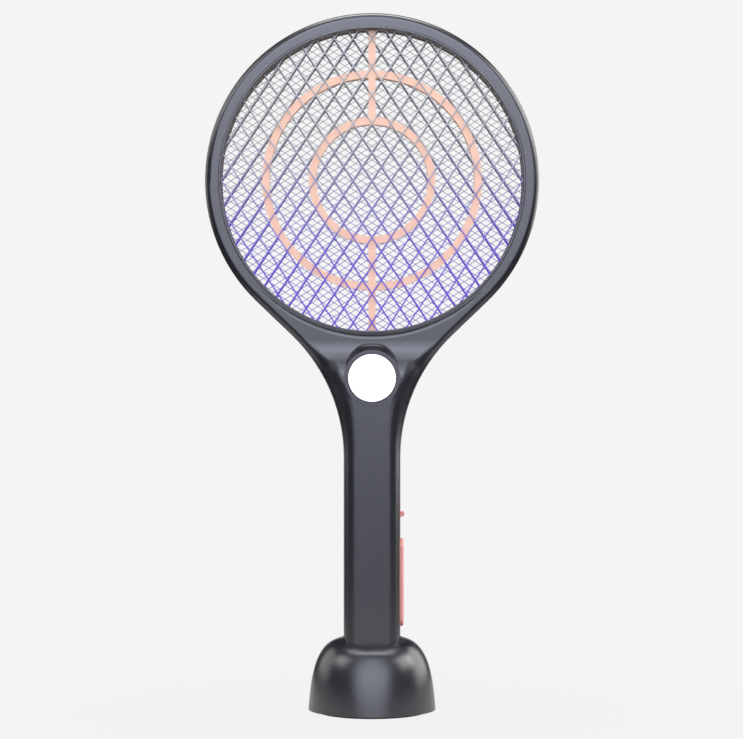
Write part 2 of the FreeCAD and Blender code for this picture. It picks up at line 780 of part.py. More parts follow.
def front_housing(shell, form, inner):
    """Front half: carries the torch, the screw posts and the front lip of the nets."""
    half = shell.common(half_space(-1.0))
    pieces = [half] + ribs(form, -1.0)
    for x, z, radius in screw_axes():
        post = rod((x, -handle_half_depth, z), (x, 0, z), radius)
        pieces.append(post.common(form))
    axis_front = (0, -torch_face, torch_height)
    foot = -torch_face + torch_collar_depth
    pieces.append(torch_collar().cut(inner))
    pieces.append(rod(axis_front, (0, foot - 0.5, torch_height), torch_hole + torch_sleeve_wall))
    housing = joined(pieces)
    bore = rod((0, -torch_face - wall, torch_height), (0, foot + wall, torch_height), torch_hole)
    housing = housing.cut(bore)
    depth = screw_length - screw_seat + screw_hole_spare
    for x, z, radius in screw_axes():
        housing = housing.cut(rod((x, -depth, z), (x, 1.0, z), screw_radius))
    return housing.cut(side_windows()).cut(cap_groove()).Solids[0]


def rear_housing(shell, form):
    """Rear half: carries the screw sleeves and the rear lip of the nets."""
    half = shell.common(half_space(1.0))
    pieces = [half] + ribs(form, 1.0)
    for x, z, radius in screw_axes():
        sleeve = rod((x, 0, z), (x, handle_half_depth, z), radius)
        pieces.append(sleeve.common(form))
    housing = joined(pieces)
    for x, z, radius in screw_axes():
        seat = (x, screw_seat, z)
        housing = housing.cut(rod((x, -1.0, z), seat, screw_radius + screw_play))
        housing = housing.cut(rod(seat, (x, handle_depth, z), screw_head_radius + screw_play))
    return housing.cut(side_windows()).cut(cap_groove()).Solids[0]


def screw(start, direction, length):
    """A pan-head screw: its head's seat is at the start, its point lies along the direction."""
    along = Vector(*direction)
    seat = Vector(*start)
    shank = Part.makeCylinder(screw_radius, length, seat, along)
    head = Part.makeCylinder(screw_head_radius, screw_head_height, seat - along * screw_head_height, along)
    crown = seat - along * screw_head_height
    rim = [edge for edge in head.Edges
           if isinstance(edge.Curve, Part.Circle) and (edge.Curve.Center - crown).Length < 1e-6]
    head = head.makeFillet(screw_head_rounding, rim)
    reach, half, depth = screw_drive_reach, screw_drive_width / 2.0, screw_drive_depth
    drive = box((-reach, -half, 0), (reach, half, depth)).fuse(box((-half, -reach, 0), (half, reach, depth)))
    drive.Placement = Placement(crown, Rotation(Vector(0, 0, 1), along))
    return shank.fuse(head).removeSplitter().cut(drive)


def housing_screws():
    return [screw((x, screw_seat, z), (0, -1, 0), screw_length) for x, z, radius in screw_axes()]


# ----------------------------------------------------------------------------- nets


def net(wire, mesh_width, mesh_height, front):
    """A diamond net: two layers of straight wires that end inside a hoop."""
    lean = math.atan2(mesh_height, mesh_width)
    pitch = mesh_width * math.sin(lean)
    count = int((net_hoop_inner - wire) / pitch)
    wires = []
    for layer, turn in enumerate((lean, -lean)):
        along = Vector(math.cos(turn), 0, math.sin(turn))
        across = Vector(-math.sin(turn), 0, math.cos(turn))
        depth = front + wire * (layer + 0.5)
        for number in range(-count, count + 1):
            middle = Vector(0, depth, head_height) + across * (number * pitch)
            half_length = math.sqrt(net_hoop_inner ** 2 - (abs(number) * pitch + wire / 2.0) ** 2)
            wires.append(rod(middle - along * half_length, middle + along * half_length, wire / 2.0))
    return wires


def net_hoop(front, back):
    """The flat metal hoop that the ends of a net's wires are welded to."""
    return ring(net_hoop_inner, net_hoop_outer, front, back)


def guard_net(front):
    return net(guard_wire, guard_mesh_width, guard_mesh_height, front)


def high_voltage_net():
    """The fine live net in its hoop; a tag on the hoop takes the lead."""
    hoop = net_hoop(-live_half, live_half)
    left = live_tag_place - live_tag_width / 2.0
    right = left + live_tag_width
    tag_top = head_height - math.sqrt(net_hoop_inner ** 2 - right ** 2) - live_wire
    tag = box((left, -live_half, live_tag_bottom), (right, live_half, tag_top))
    wires = net(live_wire, live_mesh_width, live_mesh_height, -live_half)
    return wires + [joined([hoop, tag])]


def lure_place(angle):
    """A direction from the head's centre, counted from straight down."""
    turn = math.radians(angle)
    return Vector(math.sin(turn), 0, -math.cos(turn))


def net_spider(side):
    """A moulded spacer: hoop, two rings and an upright bar; its foot holds the lamps."""
    near, far = sorted((side * spider_front, side * spider_back))
    hoop = ring(spider_hoop_inner, spider_hoop_outer, near, far)
    half_ring = ring_width / 2.0
    rings = [ring(radius - half_ring, radius + half_ring, near, far)
             for radius in (inner_ring_radius, outer_ring_radius)]
    half = bar_width / 2.0
    outside = (spider_hoop_inner + spider_hoop_outer) / 2.0
    inside = inner_ring_radius
    bars = [box((-half, near, head_height + inside), (half, far, head_height + outside)),
            box((-half, near, head_height - outside), (half, far, head_height - inside))]
    spider = joined([hoop] + rings + bars)
    centre = Vector(0, side * lure_depth, head_height)
    for angle in lure_angles:
        way = lure_place(angle)
        start, end = centre + way * (spider_hoop_inner - wall), centre + way * (spider_hoop_outer + wall)
        spider = spider.cut(rod(start, end, lure_diameter / 2.0 + lure_play))
    return spider


def lure_lamps():
    """Two rows of round lamps, each with its dome just inside the hoop."""
    lamps = []
    radius = lure_diameter / 2.0
    for side in (-1.0, 1.0):
        centre = Vector(0, side * lure_depth, head_height)
        for angle in lure_angles:
            way = lure_place(angle)
            tip = centre + way * (spider_hoop_inner + lure_tip_inset + radius)
            base = centre + way * (lure_strip_inner - lure_play)
            flange = rod(centre + way * (spider_hoop_outer + lure_play), base, lure_flange / 2.0)
            lamps.append(joined([Part.makeSphere(radius, tip), rod(tip, base, radius), flange]))
    return lamps


def lure_strips():
    """Two curved circuit strips that the lamps stand on."""
    outer = lure_strip_inner + lure_strip_thickness
    centre = Vector(0, 0, head_height)
    ends = [centre + lure_place(side * lure_strip_angle) * (2.0 * outer) for side in (-1.0, 1.0)]
    wedge = Part.makePolygon([centre] + ends + [centre])
    sector = Part.Face(wedge).extrude(Vector(0, handle_depth, 0))
    sector.translate(Vector(0, -handle_half_depth, 0))
    half = lure_strip_width / 2.0
    strips = []
    for side in (-1.0, 1.0):
        middle = side * lure_depth
        strips.append(ring(lure_strip_inner, outer, middle - half, middle + half).common(sector))
    return strips


# ---------------------------------------------------------------------------- torch


def along_torch(depth):
    """A point on the torch's axis, at a depth behind the front of the lens."""
    return (0, -torch_face + depth, torch_height)


def torch_lens():
    disc = rod(along_torch(0), along_torch(torch_lens_thickness), torch_lens_diameter / 2.0 - torch_play)
    front = [edge for edge in disc.Edges
             if isinstance(edge.Curve, Part.Circle) and abs(edge.Curve.Center.y + torch_face) < 1e-6]
    return disc.makeFillet(torch_lens_rounding, front)


def torch_bezel():
    """The ring round the lens, with a ledge behind it."""
    seat = torch_lens_diameter / 2.0
    body = rod(along_torch(2.0 * torch_play), along_torch(torch_bezel_depth), torch_hole - torch_play)
    body = body.cut(rod(along_torch(0), along_torch(torch_lens_thickness), seat))
    return body.cut(rod(along_torch(0), along_torch(torch_bezel_depth), seat - torch_bezel_ledge))


def torch_reflector():
    """A cone from the lens back to the lamp, with a collar behind the bezel."""
    front, end = along_torch(torch_lens_thickness), along_torch(torch_board_depth)
    mouth = torch_lens_diameter / 2.0 - torch_bezel_ledge - reflector_play
    outside = cone(front, end, mouth, reflector_throat + reflector_skin)
    inside = cone(front, end, mouth - reflector_skin, reflector_throat)
    collar_front = along_torch(torch_bezel_depth)
    collar_back = along_torch(torch_bezel_depth + reflector_collar)
    collar = rod(collar_front, collar_back, torch_hole - reflector_collar_play)
    collar = collar.cut(rod(collar_front, collar_back, mouth - reflector_collar_reach))
    cup = outside.fuse(collar).cut(inside)
    return cup.removeSplitter()


def torch_board():
    end = torch_board_depth + torch_board_thickness
    return rod(along_torch(torch_board_depth), along_torch(end), torch_board_radius)


def torch_lamp():
    """A power lamp on its board: a square package with a small dome."""
    back = torch_board_depth - torch_face
    front = back - torch_lamp_height
    half = torch_lamp_size / 2.0
    package = box((-half, front, torch_height - half), (half, back, torch_height + half))
    dome = Part.makeSphere(torch_lamp_dome, Vector(0, front, torch_height))
    before_board = box((-half, front - half, torch_height - half), (half, back, torch_height + half))
    return package.fuse(dome.common(before_board)).removeSplitter()


# ------------------------------------------------------------------ trigger, switch


def trigger_button():
    """The long thumb button: cap, flange behind the wall and a post over the tact switch."""
    back = trigger_flange_face - trigger_flange
    around = 2.0 * trigger_flange_lip
    flange = stadium(trigger_length + around, trigger_width + around,
                     back, trigger_flange_face, trigger_height)
    cap = stadium(trigger_length, trigger_width, back, handle_half_width + trigger_proud, trigger_height)
    outer_face = max(cap.Faces, key=lambda face: face.CenterOfMass.x)
    cap = cap.makeFillet(trigger_rounding, outer_face.Edges)
    post_end = tact_top + trigger_travel + trigger_post_gap
    post = rod((post_end, 0, trigger_height), (trigger_flange_face, 0, trigger_height), trigger_post_radius)
    return joined([flange, cap, post])


def trigger_springs():
    start = board_face + spring_gap
    height = trigger_flange_face - trigger_flange - start - spring_gap
    half = trigger_spring_spacing / 2.0
    return [coil_spring(trigger_spring_radius, height, trigger_spring_turns,
                        (start, 0, trigger_height + side * half), (1, 0, 0)) for side in (-1.0, 1.0)]


def trigger_tact_switch():
    half = tact_size / 2.0
    top = board_face + tact_height
    body = box((board_face, -half, trigger_height - half), (top, half, trigger_height + half))
    stem = rod((top, 0, trigger_height), (tact_top, 0, trigger_height), tact_stem_radius)
    return joined([body, stem])


def switch_escutcheon():
    """A dished plate round the knob, held by a flange behind the wall."""
    flange_face = inner_wall - switch_flange_gap
    back = flange_face - switch_flange

    def plate(grow, near, far):
        """The plate's rounded rectangle, grown all round, between two depths."""
        grow = grow - switch_plate_play
        return rounded_plate(switch_plate_length + 2.0 * grow, switch_plate_width + 2.0 * grow,
                             switch_plate_corner + grow, near, far, switch_height)

    body = plate(0.0, back, handle_half_width).fuse(plate(switch_flange_lip, back, flange_face))
    dish = plate(-switch_plate_wall, handle_half_width - switch_dish_depth, handle_half_width + wall)
    half_width = knob_stem_width / 2.0 + knob_slot_play
    half_length = (switch_travel + knob_stem_length) / 2.0 + knob_slot_play
    slot = box((0, -half_width, knob_slot_middle - half_length),
               (handle_width, half_width, knob_slot_middle + half_length))
    return body.removeSplitter().cut(dish).cut(slot)


def switch_knob():
    """The finger knob with the stem that reaches down to the switch's lever."""
    face = handle_half_width - switch_dish_depth + knob_gap
    top = handle_half_width + knob_proud
    grip = box((face, -knob_width / 2.0, knob_height - knob_length / 2.0),
               (top, knob_width / 2.0, knob_height + knob_length / 2.0))
    ends = [edge for edge in grip.Edges
            if edge.CenterOfMass.x > top - 1e-6 and abs(edge.CenterOfMass.y) < 1e-6]
    grip = grip.makeFillet(knob_rounding, ends)
    half_width, half_length = knob_stem_width / 2.0, knob_stem_length / 2.0
    stem = box((switch_body_top + switch_lever_proud, -half_width, knob_height - half_length),
               (face, half_width, knob_height + half_length))
    return joined([grip, stem])


def slide_switch_body():
    """The slide switch on the board, with the slot that its lever runs in."""
    half_length = switch_body_length / 2.0
    half_width = switch_body_width / 2.0
    body = box((board_face, -half_width, knob_slot_middle - half_length),
               (switch_body_top, half_width, knob_slot_middle + half_length))
    slot_width = switch_lever / 2.0 + switch_lever_play
    slot_length = slot_width + switch_travel / 2.0
    slot_floor = board_face + switch_lever_foot - switch_lever_play
    slot = box((slot_floor, -slot_width, knob_slot_middle - slot_length),
               (handle_width, slot_width, knob_slot_middle + slot_length))
    return body.cut(slot)


def switch_lever_piece():
    half = switch_lever / 2.0
    return box((board_face + switch_lever_foot, -half, knob_height - half),
               (switch_body_top + switch_lever_proud, half, knob_height + half))


# -------------------------------------------------------------- electronics, battery


def main_circuit_board():
    half = board_width / 2.0
    return box((board_back, -half, board_bottom), (board_face, half, board_top))


def hv_transformer():
    """A small ferrite transformer: two core halves round a wound bobbin."""
    middle = cell_top + core_above_cell
    right = board_back - core_gap
    left = right - core_width
    half_depth, half_height = core_depth / 2.0, core_height / 2.0
    bobbin_half = half_height - core_limb + bobbin_play + bobbin_wall
    winding_half = half_height - core_limb - bobbin_play
    winding_depth = half_depth + winding_proud
    outer = box((left, -half_depth, middle - half_height), (right, half_depth, middle + half_height))
    window = box((left + core_limb, -half_depth, middle - half_height + core_limb),
                 (right - core_limb, half_depth, middle + half_height - core_limb))
    winding = box((left + core_limb + bobbin_play, -winding_depth, middle - winding_half),
                  (right - core_limb - bobbin_play, winding_depth, middle + winding_half))
    core_room = box((left, -half_depth - bobbin_play, middle - half_height),
                    (right, half_depth + bobbin_play, middle + half_height))
    halves = winding.cut(core_room).Solids
    bobbin = box((left + core_limb, -winding_depth - bobbin_wall, middle - bobbin_half),
                 (board_back, winding_depth + bobbin_wall, middle + bobbin_half))
    bobbin = bobbin.cut(box((left, -winding_depth, middle - core_height),
                            (right + bobbin_play, winding_depth, middle + core_height)))
    return [outer.cut(window)] + halves + [bobbin]


def hv_capacitor():
    depth, width, height = capacitor_size
    low = cell_top + capacitor_above_cell - height / 2.0
    left = board_back - depth
    block = box((left, -width / 2.0, low), (board_back, width / 2.0, low + height))
    return block.makeFillet(capacitor_rounding, [edge for edge in block.Edges
                                                 if edge.CenterOfMass.x < left + 1e-6])


def hv_diodes():
    """Axial diodes of the voltage multiplier, laid on the board's left face."""
    x = board_back - diode_radius
    near, far = diode_ends
    heights = [cell_top + diode_above_cell + diode_pitch * row for row in range(diode_count)]
    return [rod((x, near, height), (x, far, height), diode_radius) for height in heights]


def board_chips():
    """Charger chip, driver chip and the switching transistor."""
    depth, width, height = chip_size
    low = board_bottom + chip_offset
    chips = [box((board_face, place, low), (board_face + depth, place + width, low + height))
             for place in chip_places]
    y, z = transistor_side, cell_top + transistor_above_cell
    left = board_back - transistor_height
    transistor = rod((left, y, z), (board_back, y, z), transistor_radius)
    beside = box((left, y - 2.0 * transistor_radius, z - transistor_radius),
                 (board_back, y - transistor_flat, z + transistor_radius))
    return chips + [transistor.cut(beside)]


def battery_cell():
    """A cylindrical lithium cell with its raised plus cap."""
    shoulder = cell_top - cell_cap_height
    body = rod((cell_offset, 0, cell_bottom), (cell_offset, 0, shoulder), cell_radius)
    rims = [edge for edge in body.Edges if isinstance(edge.Curve, Part.Circle)]
    cap = rod((cell_offset, 0, shoulder - cell_rounding), (cell_offset, 0, cell_top), cell_cap_radius)
    return joined([body.makeFillet(cell_rounding, rims), cap])


def battery_tabs():
    """Nickel strips welded across both ends of the cell."""
    reach = board_back - tab_gap
    half = tab_width / 2.0
    low = box((cell_offset - half, -half, cell_bottom - tab_thickness), (reach, half, cell_bottom))
    high = box((cell_offset - half, -half, cell_top), (reach, half, cell_top + tab_thickness))
    return [low, high]


def battery_leads():
    """Two leads from the nickel strips to the board's left face."""
    x = lead_line - 0.95
    under = cell_bottom - tab_thickness - lead_radius
    over = cell_top + tab_thickness + lead_radius
    low = lead([(x, 7.4, cell_bottom + 0.6), (x, 7.4, board_bottom + 8.0)])
    stub = lead([(x, 2.6, under), (x, 7.4, under), (x, 7.4, cell_bottom + 0.6)], bend=2.0)
    high = lead([(x, 2.0, over), (x, 9.5, over), (x, 9.5, cell_top + 8.0)], bend=2.0)
    return [joined([low, stub]), high]


def net_leads():
    """The live lead to the fine net and two earth leads to the guard nets."""
    x = lead_line
    bend_height = neck_top - net_lead_drop
    hoop_bottom = head_height - net_hoop_outer
    guard_middle = (guard_front + guard_back) / 2.0
    live = lead([(x, 6.0, lead_start), (x, 6.0, bend_height),
                 (live_tag_place, 2.5, neck_top - 9.0),
                 (live_tag_place, 0, live_tag_bottom - 4.2),
                 (live_tag_place, 0, live_tag_bottom - lead_gap)], bend=3.0)
    rear = lead([(x, 9.0, lead_start), (x, 9.0, bend_height),
                 (-6.0, 7.0, neck_top - 6.0),
                 (-6.0, guard_middle, hoop_bottom - 4.0),
                 (-6.0, guard_middle, hoop_bottom + 0.1)], bend=3.0)
    front = lead([(x, 1.5, lead_start), (x, 1.5, bend_height),
                  (9.0, 0.5, neck_top - 5.0),
                  (9.0, -guard_middle, hoop_bottom - 4.5),
                  (9.0, -guard_middle, hoop_bottom + 0.3)], bend=3.0)
    return [live, rear, front]


def lamp_leads():
    """Leads to the torch's board and to the two lure strips."""
    x = lead_line
    bend_height = neck_top - lamp_lead_drop
    board_rear = torch_board_depth + torch_board_thickness - torch_face + lead_radius + lead_gap
    strip_bottom = hoop_foot - lure_flange_thickness - lure_strip_thickness
    pieces = []
    for offset in (-3.0, 3.0):
        pieces.append(lead([(x, -5.0 - offset / 2.0, lead_start), (x, -5.0 - offset / 2.0, bend_height),
                            (offset + 5.0, board_rear, torch_height - 13.0),
                            (offset + 5.0, board_rear, torch_height - 5.0)]))
    for side, end in ((-1.0, -12.0), (1.0, -18.0)):
        rise = lure_depth * side
        drop = end ** 2 / (2.0 * spider_hoop_outer)
        pieces.append(lead([(x, -9.0 - side, lead_start), (x, -9.0 - side, bend_height - 8.0),
                            (end, 3.0 + side, neck_top - 14.0), (end, rise, strip_bottom - 4.0),
                            (end, rise, strip_bottom + drop - 0.1)]))
    return pieces


# -------------------------------------------------------------------- handle end cap


def handle_end_cap(section):
    """A plate with a tongue all round, clamped between the two housings."""
    reach = handle_width
    middle = handle_foot + cap_thickness / 2.0
    plate = section.common(box((-reach, -reach, handle_foot), (reach, reach, handle_foot + cap_thickness)))
    tongue = body_form(wall - cap_tongue)
    tongue = tongue.common(box((-reach, -reach, middle - cap_tongue_height / 2.0),
                               (reach, reach, middle + cap_tongue_height / 2.0)))
    cap = joined([plate, tongue])
    for side in (-1.0, 1.0):
        x = side * pad_spacing / 2.0
        seat = (x, 0, handle_foot + pad_thickness)
        cap = cap.cut(rod((x, 0, handle_foot), seat, pad_radius + pad_play))
        cap = cap.cut(rod(seat, (x, 0, handle_foot + cap_thickness), pad_stem_radius + pad_play))
    return cap


def charge_pads():
    pads = []
    for side in (-1.0, 1.0):
        x = side * pad_spacing / 2.0
        seat = (x, 0, handle_foot + pad_thickness)
        disc = rod((x, 0, handle_foot), seat, pad_radius)
        stem = rod(seat, (x, 0, handle_foot + pad_stem_length), pad_stem_radius)
        pads.append(joined([disc, stem]))
    return pads


# --------------------------------------------------------------------- charging base


def base_reach(height, half_size, profile_height):
    """Half the base's size at a height: a drafted wall that rounds over at the top."""
    share = height / profile_height
    lean = 1.0 - base_draft * height / base_profile_height
    return half_size * lean * (1.0 - share ** base_profile_power) ** (1.0 / base_profile_root)


def base_section(height, inset):
    """One level section of the base: a circle below that squares up towards the socket."""
    front_profile = base_front_profile_height - inset
    front_height = min(height, front_profile * base_front_level)
    across = base_reach(height, base_half_width - inset, base_profile_height - inset)
    deep = base_reach(front_height, base_half_depth - inset, front_profile)
    power = 2.0 + base_squareness * height / base_profile_height
    count = 20
    points = []
    for number in range(count):
        turn = 2.0 * math.pi * (number + 0.5) / count
        cosine, sine = math.cos(turn), math.sin(turn)
        x = math.copysign(across * abs(cosine) ** (2.0 / power), cosine)
        y = math.copysign(deep * abs(sine) ** (2.0 / power), sine)
        points.append(Vector(x, y, height))
    curve = Part.BSplineCurve()
    curve.interpolate(points, PeriodicFlag=True)
    return Part.Wire([curve.toShape()])


def base_form(inset=0.0):
    """The base as one closed form, lofted through level sections."""
    bottom, top = base_underside, base_top - inset
    shares = (0.0, 0.09, 0.18, 0.28, 0.38, 0.48, 0.58, 0.67, 0.75, 0.82, 0.88, 0.93, 0.965, 0.985, 1.0)
    sections = [base_section(bottom + share * (top - bottom), inset) for share in shares]
    return Part.makeLoft(sections, True, False)


def base_screw_places():
    places = []
    for angle in base_screw_angles:
        turn = math.radians(angle)
        places.append((base_screw_circle * math.cos(turn), base_screw_circle * math.sin(turn)))
    return places


def usb_slot():
    around = 2.0 * usb_slot_play
    return flat_tube(usb_width + around, usb_height + around, usb_mouth - usb_length,
                     base_half_depth + base_wall, usb_middle)


def base_shell(outside, inside, socket):
    """The domed shell with its screw bosses, the handle's hole and the inlet's slot."""
    shell = outside.cut(inside)
    cavity = base_form(base_wall / 2.0)
    bosses = []
    for x, y in base_screw_places():
        boss = rod((x, y, plate_top), (x, y, base_top), base_boss_radius)
        bosses.append(boss.common(cavity))
    shell = joined([shell] + bosses)
    for x, y in base_screw_places():
        shell = shell.cut(rod((x, y, base_underside), (x, y, base_hole_end), screw_radius))
    return shell.cut(socket).cut(usb_slot()).Solids[0]


def base_socket(inside, socket):
    """The liner that the handle stands in, with holes for the two contacts."""
    outer = body_form(-dock_play - liner_wall, liner_floor_bottom)
    liner = outer.common(inside)
    liner = liner.cut(socket)
    for side in (-1.0, 1.0):
        x = side * pad_spacing / 2.0
        liner = liner.cut(rod((x, 0, 0), (x, 0, handle_foot), contact_tip_radius + contact_play))
    return liner.Solids[0]


def base_plate():
    """The floor plate with its standoffs, screw holes and the groove for the rubber ring."""
    reach = base_half_width
    level = box((-reach, -reach, base_underside), (reach, reach, plate_top))
    plate = base_form(base_wall + plate_play).common(level)
    pieces = [plate]
    for x, y in standoff_places:
        pieces.append(rod((x, y, plate_top - 0.5), (x, y, charge_board_bottom), standoff_radius))
    plate = joined(pieces)
    floor = (0, 0, base_underside + foot_ring_recess)
    groove = rod((0, 0, 0), floor, foot_ring_outer + foot_ring_play)
    groove = groove.cut(rod((0, 0, 0), floor, foot_ring_inner - foot_ring_play))
    plate = plate.cut(groove)
    for x, y in base_screw_places():
        seat = (x, y, base_underside + base_screw_head_recess)
        plate = plate.cut(rod((x, y, 0), seat, screw_head_radius + screw_play))
        plate = plate.cut(rod(seat, (x, y, plate_top), screw_radius + screw_play))
    return plate.Solids[0]


def rubber_foot_ring():
    foot = rod((0, 0, 0), (0, 0, base_underside + foot_ring_recess), foot_ring_outer)
    foot = foot.cut(rod((0, 0, 0), (0, 0, base_underside + foot_ring_recess), foot_ring_inner))
    lower = [edge for edge in foot.Edges
             if isinstance(edge.Curve, Part.Circle) and abs(edge.CenterOfMass.z) < 1e-6]
    return foot.makeFillet(foot_ring_rounding, lower)


def ballast_plate():
    disc = rod((0, 0, plate_top), (0, 0, plate_top + ballast_thickness), ballast_radius)
    for x, y in standoff_places:
        disc = disc.cut(rod((x, y, 0), (x, y, 2.0 * charge_board_top), standoff_radius + standoff_play))
    return disc


def base_screws():
    seat = base_underside + base_screw_head_recess
    return [screw((x, y, seat), (0, 0, 1), base_screw_bite) for x, y in base_screw_places()]


def charge_board():
    half = charge_board_width / 2.0
    return box((-half, charge_board_front, charge_board_bottom), (half, charge_board_back, charge_board_top))


def contact_pins():
    """Two spring contacts: a tip through the liner's floor above a flange and a tail."""
    tip = handle_foot - contact_tip_below
    flange_bottom = contact_flange_top - contact_flange_height
    tail_bottom = contact_well_floor + contact_travel + contact_tail_spare
    pins = []
    for side in (-1.0, 1.0):
        x = side * pad_spacing / 2.0
        stem = rod((x, 0, contact_flange_top), (x, 0, tip), contact_tip_radius)
        crown = [edge for edge in stem.Edges
                 if isinstance(edge.Curve, Part.Circle) and edge.CenterOfMass.z > tip - 1e-6]
        stem = stem.makeFillet(contact_tip_rounding, crown)
        flange = rod((x, 0, flange_bottom), (x, 0, contact_flange_top), contact_flange_radius)
        tail = rod((x, 0, tail_bottom), (x, 0, flange_bottom), contact_tail_radius)
        pins.append(joined([stem, flange, tail]))
    return pins


def contact_block():
    """The insulator on the charging board that guides the contacts and their springs."""
    half_width, half_depth = contact_block_width / 2.0, contact_block_depth / 2.0
    block = box((-half_width, -half_depth, charge_board_top), (half_width, half_depth, contact_block_top))
    for side in (-1.0, 1.0):
        x = side * pad_spacing / 2.0
        well = rod((x, 0, contact_well_floor), (x, 0, handle_foot), contact_flange_radius + contact_play)
        block = block.cut(well)
    return block


def contact_springs():
    start = contact_well_floor + spring_gap
    height = contact_flange_top - contact_flange_height - start - spring_gap
    return [coil_spring(contact_spring_radius, height, contact_spring_turns,
                        (side * pad_spacing / 2.0, 0, start), (0, 0, 1)) for side in (-1.0, 1.0)]


def flat_tube(width, height, near, far, level):
    """A bar along Y with round ends from side to side."""
    straight = (width - height) / 2.0
    bar = box((-straight, near, level - height / 2.0), (straight, far, level + height / 2.0))
    for side in (-1.0, 1.0):
        bar = bar.fuse(rod((side * straight, near, level), (side * straight, far, level), height / 2.0))
    return bar.removeSplitter()


def usb_socket():
    """The charging inlet: a metal shell round a contact tongue."""
    back = usb_mouth - usb_length
    shell = flat_tube(usb_width, usb_height, back, usb_mouth, usb_middle)
    floor = back + usb_wall
    inside = 2.0 * usb_shell
    hollow = flat_tube(usb_width - inside, usb_height - inside, floor, usb_mouth, usb_middle)
    half_width, half_height = usb_tongue_width / 2.0, usb_tongue_thickness / 2.0
    tongue = box((-half_width, floor - usb_wall / 2.0, usb_middle - half_height),
                 (half_width, floor + usb_tongue_length, usb_middle + half_height))
    return joined([shell.cut(hollow), tongue])


# ------------------------------------------------------------------------- assembly


def build():
    form = body_form()
    inside_form = body_form(wall)
    shell = hollow_shell(form, inside_form)
    dock_hole = body_form(-dock_play, liner_floor_top)
    base_outside = base_form()
    base_inside = base_form(base_wall)
    liner_room = base_form(base_wall + liner_play)
    return {
        "front_housing": front_housing(shell, form, inside_form),
        "rear_housing": rear_housing(shell, form),
        "housing_screws": housing_screws(),
        "front_guard_net": guard_net(-guard_back),
        "rear_guard_net": guard_net(guard_front),
        "front_net_hoop": net_hoop(-guard_back, -guard_front),
        "rear_net_hoop": net_hoop(guard_front, guard_back),
        "high_voltage_net": high_voltage_net(),
        "front_net_spider": net_spider(-1.0),
        "rear_net_spider": net_spider(1.0),
        "lure_lamps": lure_lamps(),
        "lure_lamp_strips": lure_strips(),
        "torch_lens": torch_lens(),
        "torch_bezel": torch_bezel(),
        "torch_reflector": torch_reflector(),
        "torch_board": torch_board(),
        "torch_lamp": torch_lamp(),
        "trigger_button": trigger_button(),
        "trigger_springs": trigger_springs(),
        "trigger_tact_switch": trigger_tact_switch(),
        "switch_escutcheon": switch_escutcheon(),
        "switch_knob": switch_knob(),
        "switch_lever": switch_lever_piece(),
        "slide_switch_body": slide_switch_body(),
        "main_circuit_board": main_circuit_board(),
        "hv_transformer": hv_transformer(),
        "hv_capacitor": hv_capacitor(),
        "hv_diodes": hv_diodes(),
        "board_chips": board_chips(),
        "battery_cell": battery_cell(),
        "battery_tabs": battery_tabs(),
        "battery_leads": battery_leads(),
        "net_leads": net_leads(),
        "lamp_leads": lamp_leads(),
        "handle_end_cap": handle_end_cap(body_form(wall + cap_play)),
        "charge_pads": charge_pads(),
        "base_shell": base_shell(base_outside, base_inside, dock_hole),
        "base_socket": base_socket(liner_room, dock_hole),
        "base_plate": base_plate(),
        "ballast_plate": ballast_plate(),
        "rubber_foot_ring": rubber_foot_ring(),
        "base_screws": base_screws(),
        "charge_board": charge_board(),
        "contact_block": contact_block(),
        "contact_pins": contact_pins(),
        "contact_springs": contact_springs(),
        "usb_socket": usb_socket(),
    }


os.makedirs("parts", exist_ok=True)
for name, made in build().items():
    shape = Part.makeCompound(made) if isinstance(made, list) else made
    shape.exportStep("parts/" + name + ".step")
    print(name, len(shape.Solids), round(shape.Volume, 1), shape.isValid())
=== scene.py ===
"""Dresses the electric fly swatter and its charging base.

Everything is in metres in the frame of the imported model: +X to the user's right, -Y the
front that the torch looks to, +Z up, the origin under the middle of the base.
"""

import logging
import math
from dataclasses import dataclass, replace
from enum import Enum
from typing import ClassVar, Protocol

import bpy
import numpy as np
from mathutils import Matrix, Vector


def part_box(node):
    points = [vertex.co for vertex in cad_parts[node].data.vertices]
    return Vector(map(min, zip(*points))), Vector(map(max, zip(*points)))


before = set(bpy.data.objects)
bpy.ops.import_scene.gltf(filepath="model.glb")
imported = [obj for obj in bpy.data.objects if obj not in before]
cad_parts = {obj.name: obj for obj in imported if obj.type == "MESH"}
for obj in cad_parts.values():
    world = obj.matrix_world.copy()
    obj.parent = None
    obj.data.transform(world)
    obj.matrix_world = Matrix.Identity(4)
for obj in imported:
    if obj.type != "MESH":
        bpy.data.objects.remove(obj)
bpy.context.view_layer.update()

LOG = logging.getLogger("fly_swatter")
MM = 0.001
Colour = tuple[float, float, float]
Place = tuple[float, float, float]
WHITE: Colour = (1.0, 1.0, 1.0)
UNLIT: Colour = (0.0, 0.0, 0.0)


# ------------------------------------------------------------------ shader arithmetic


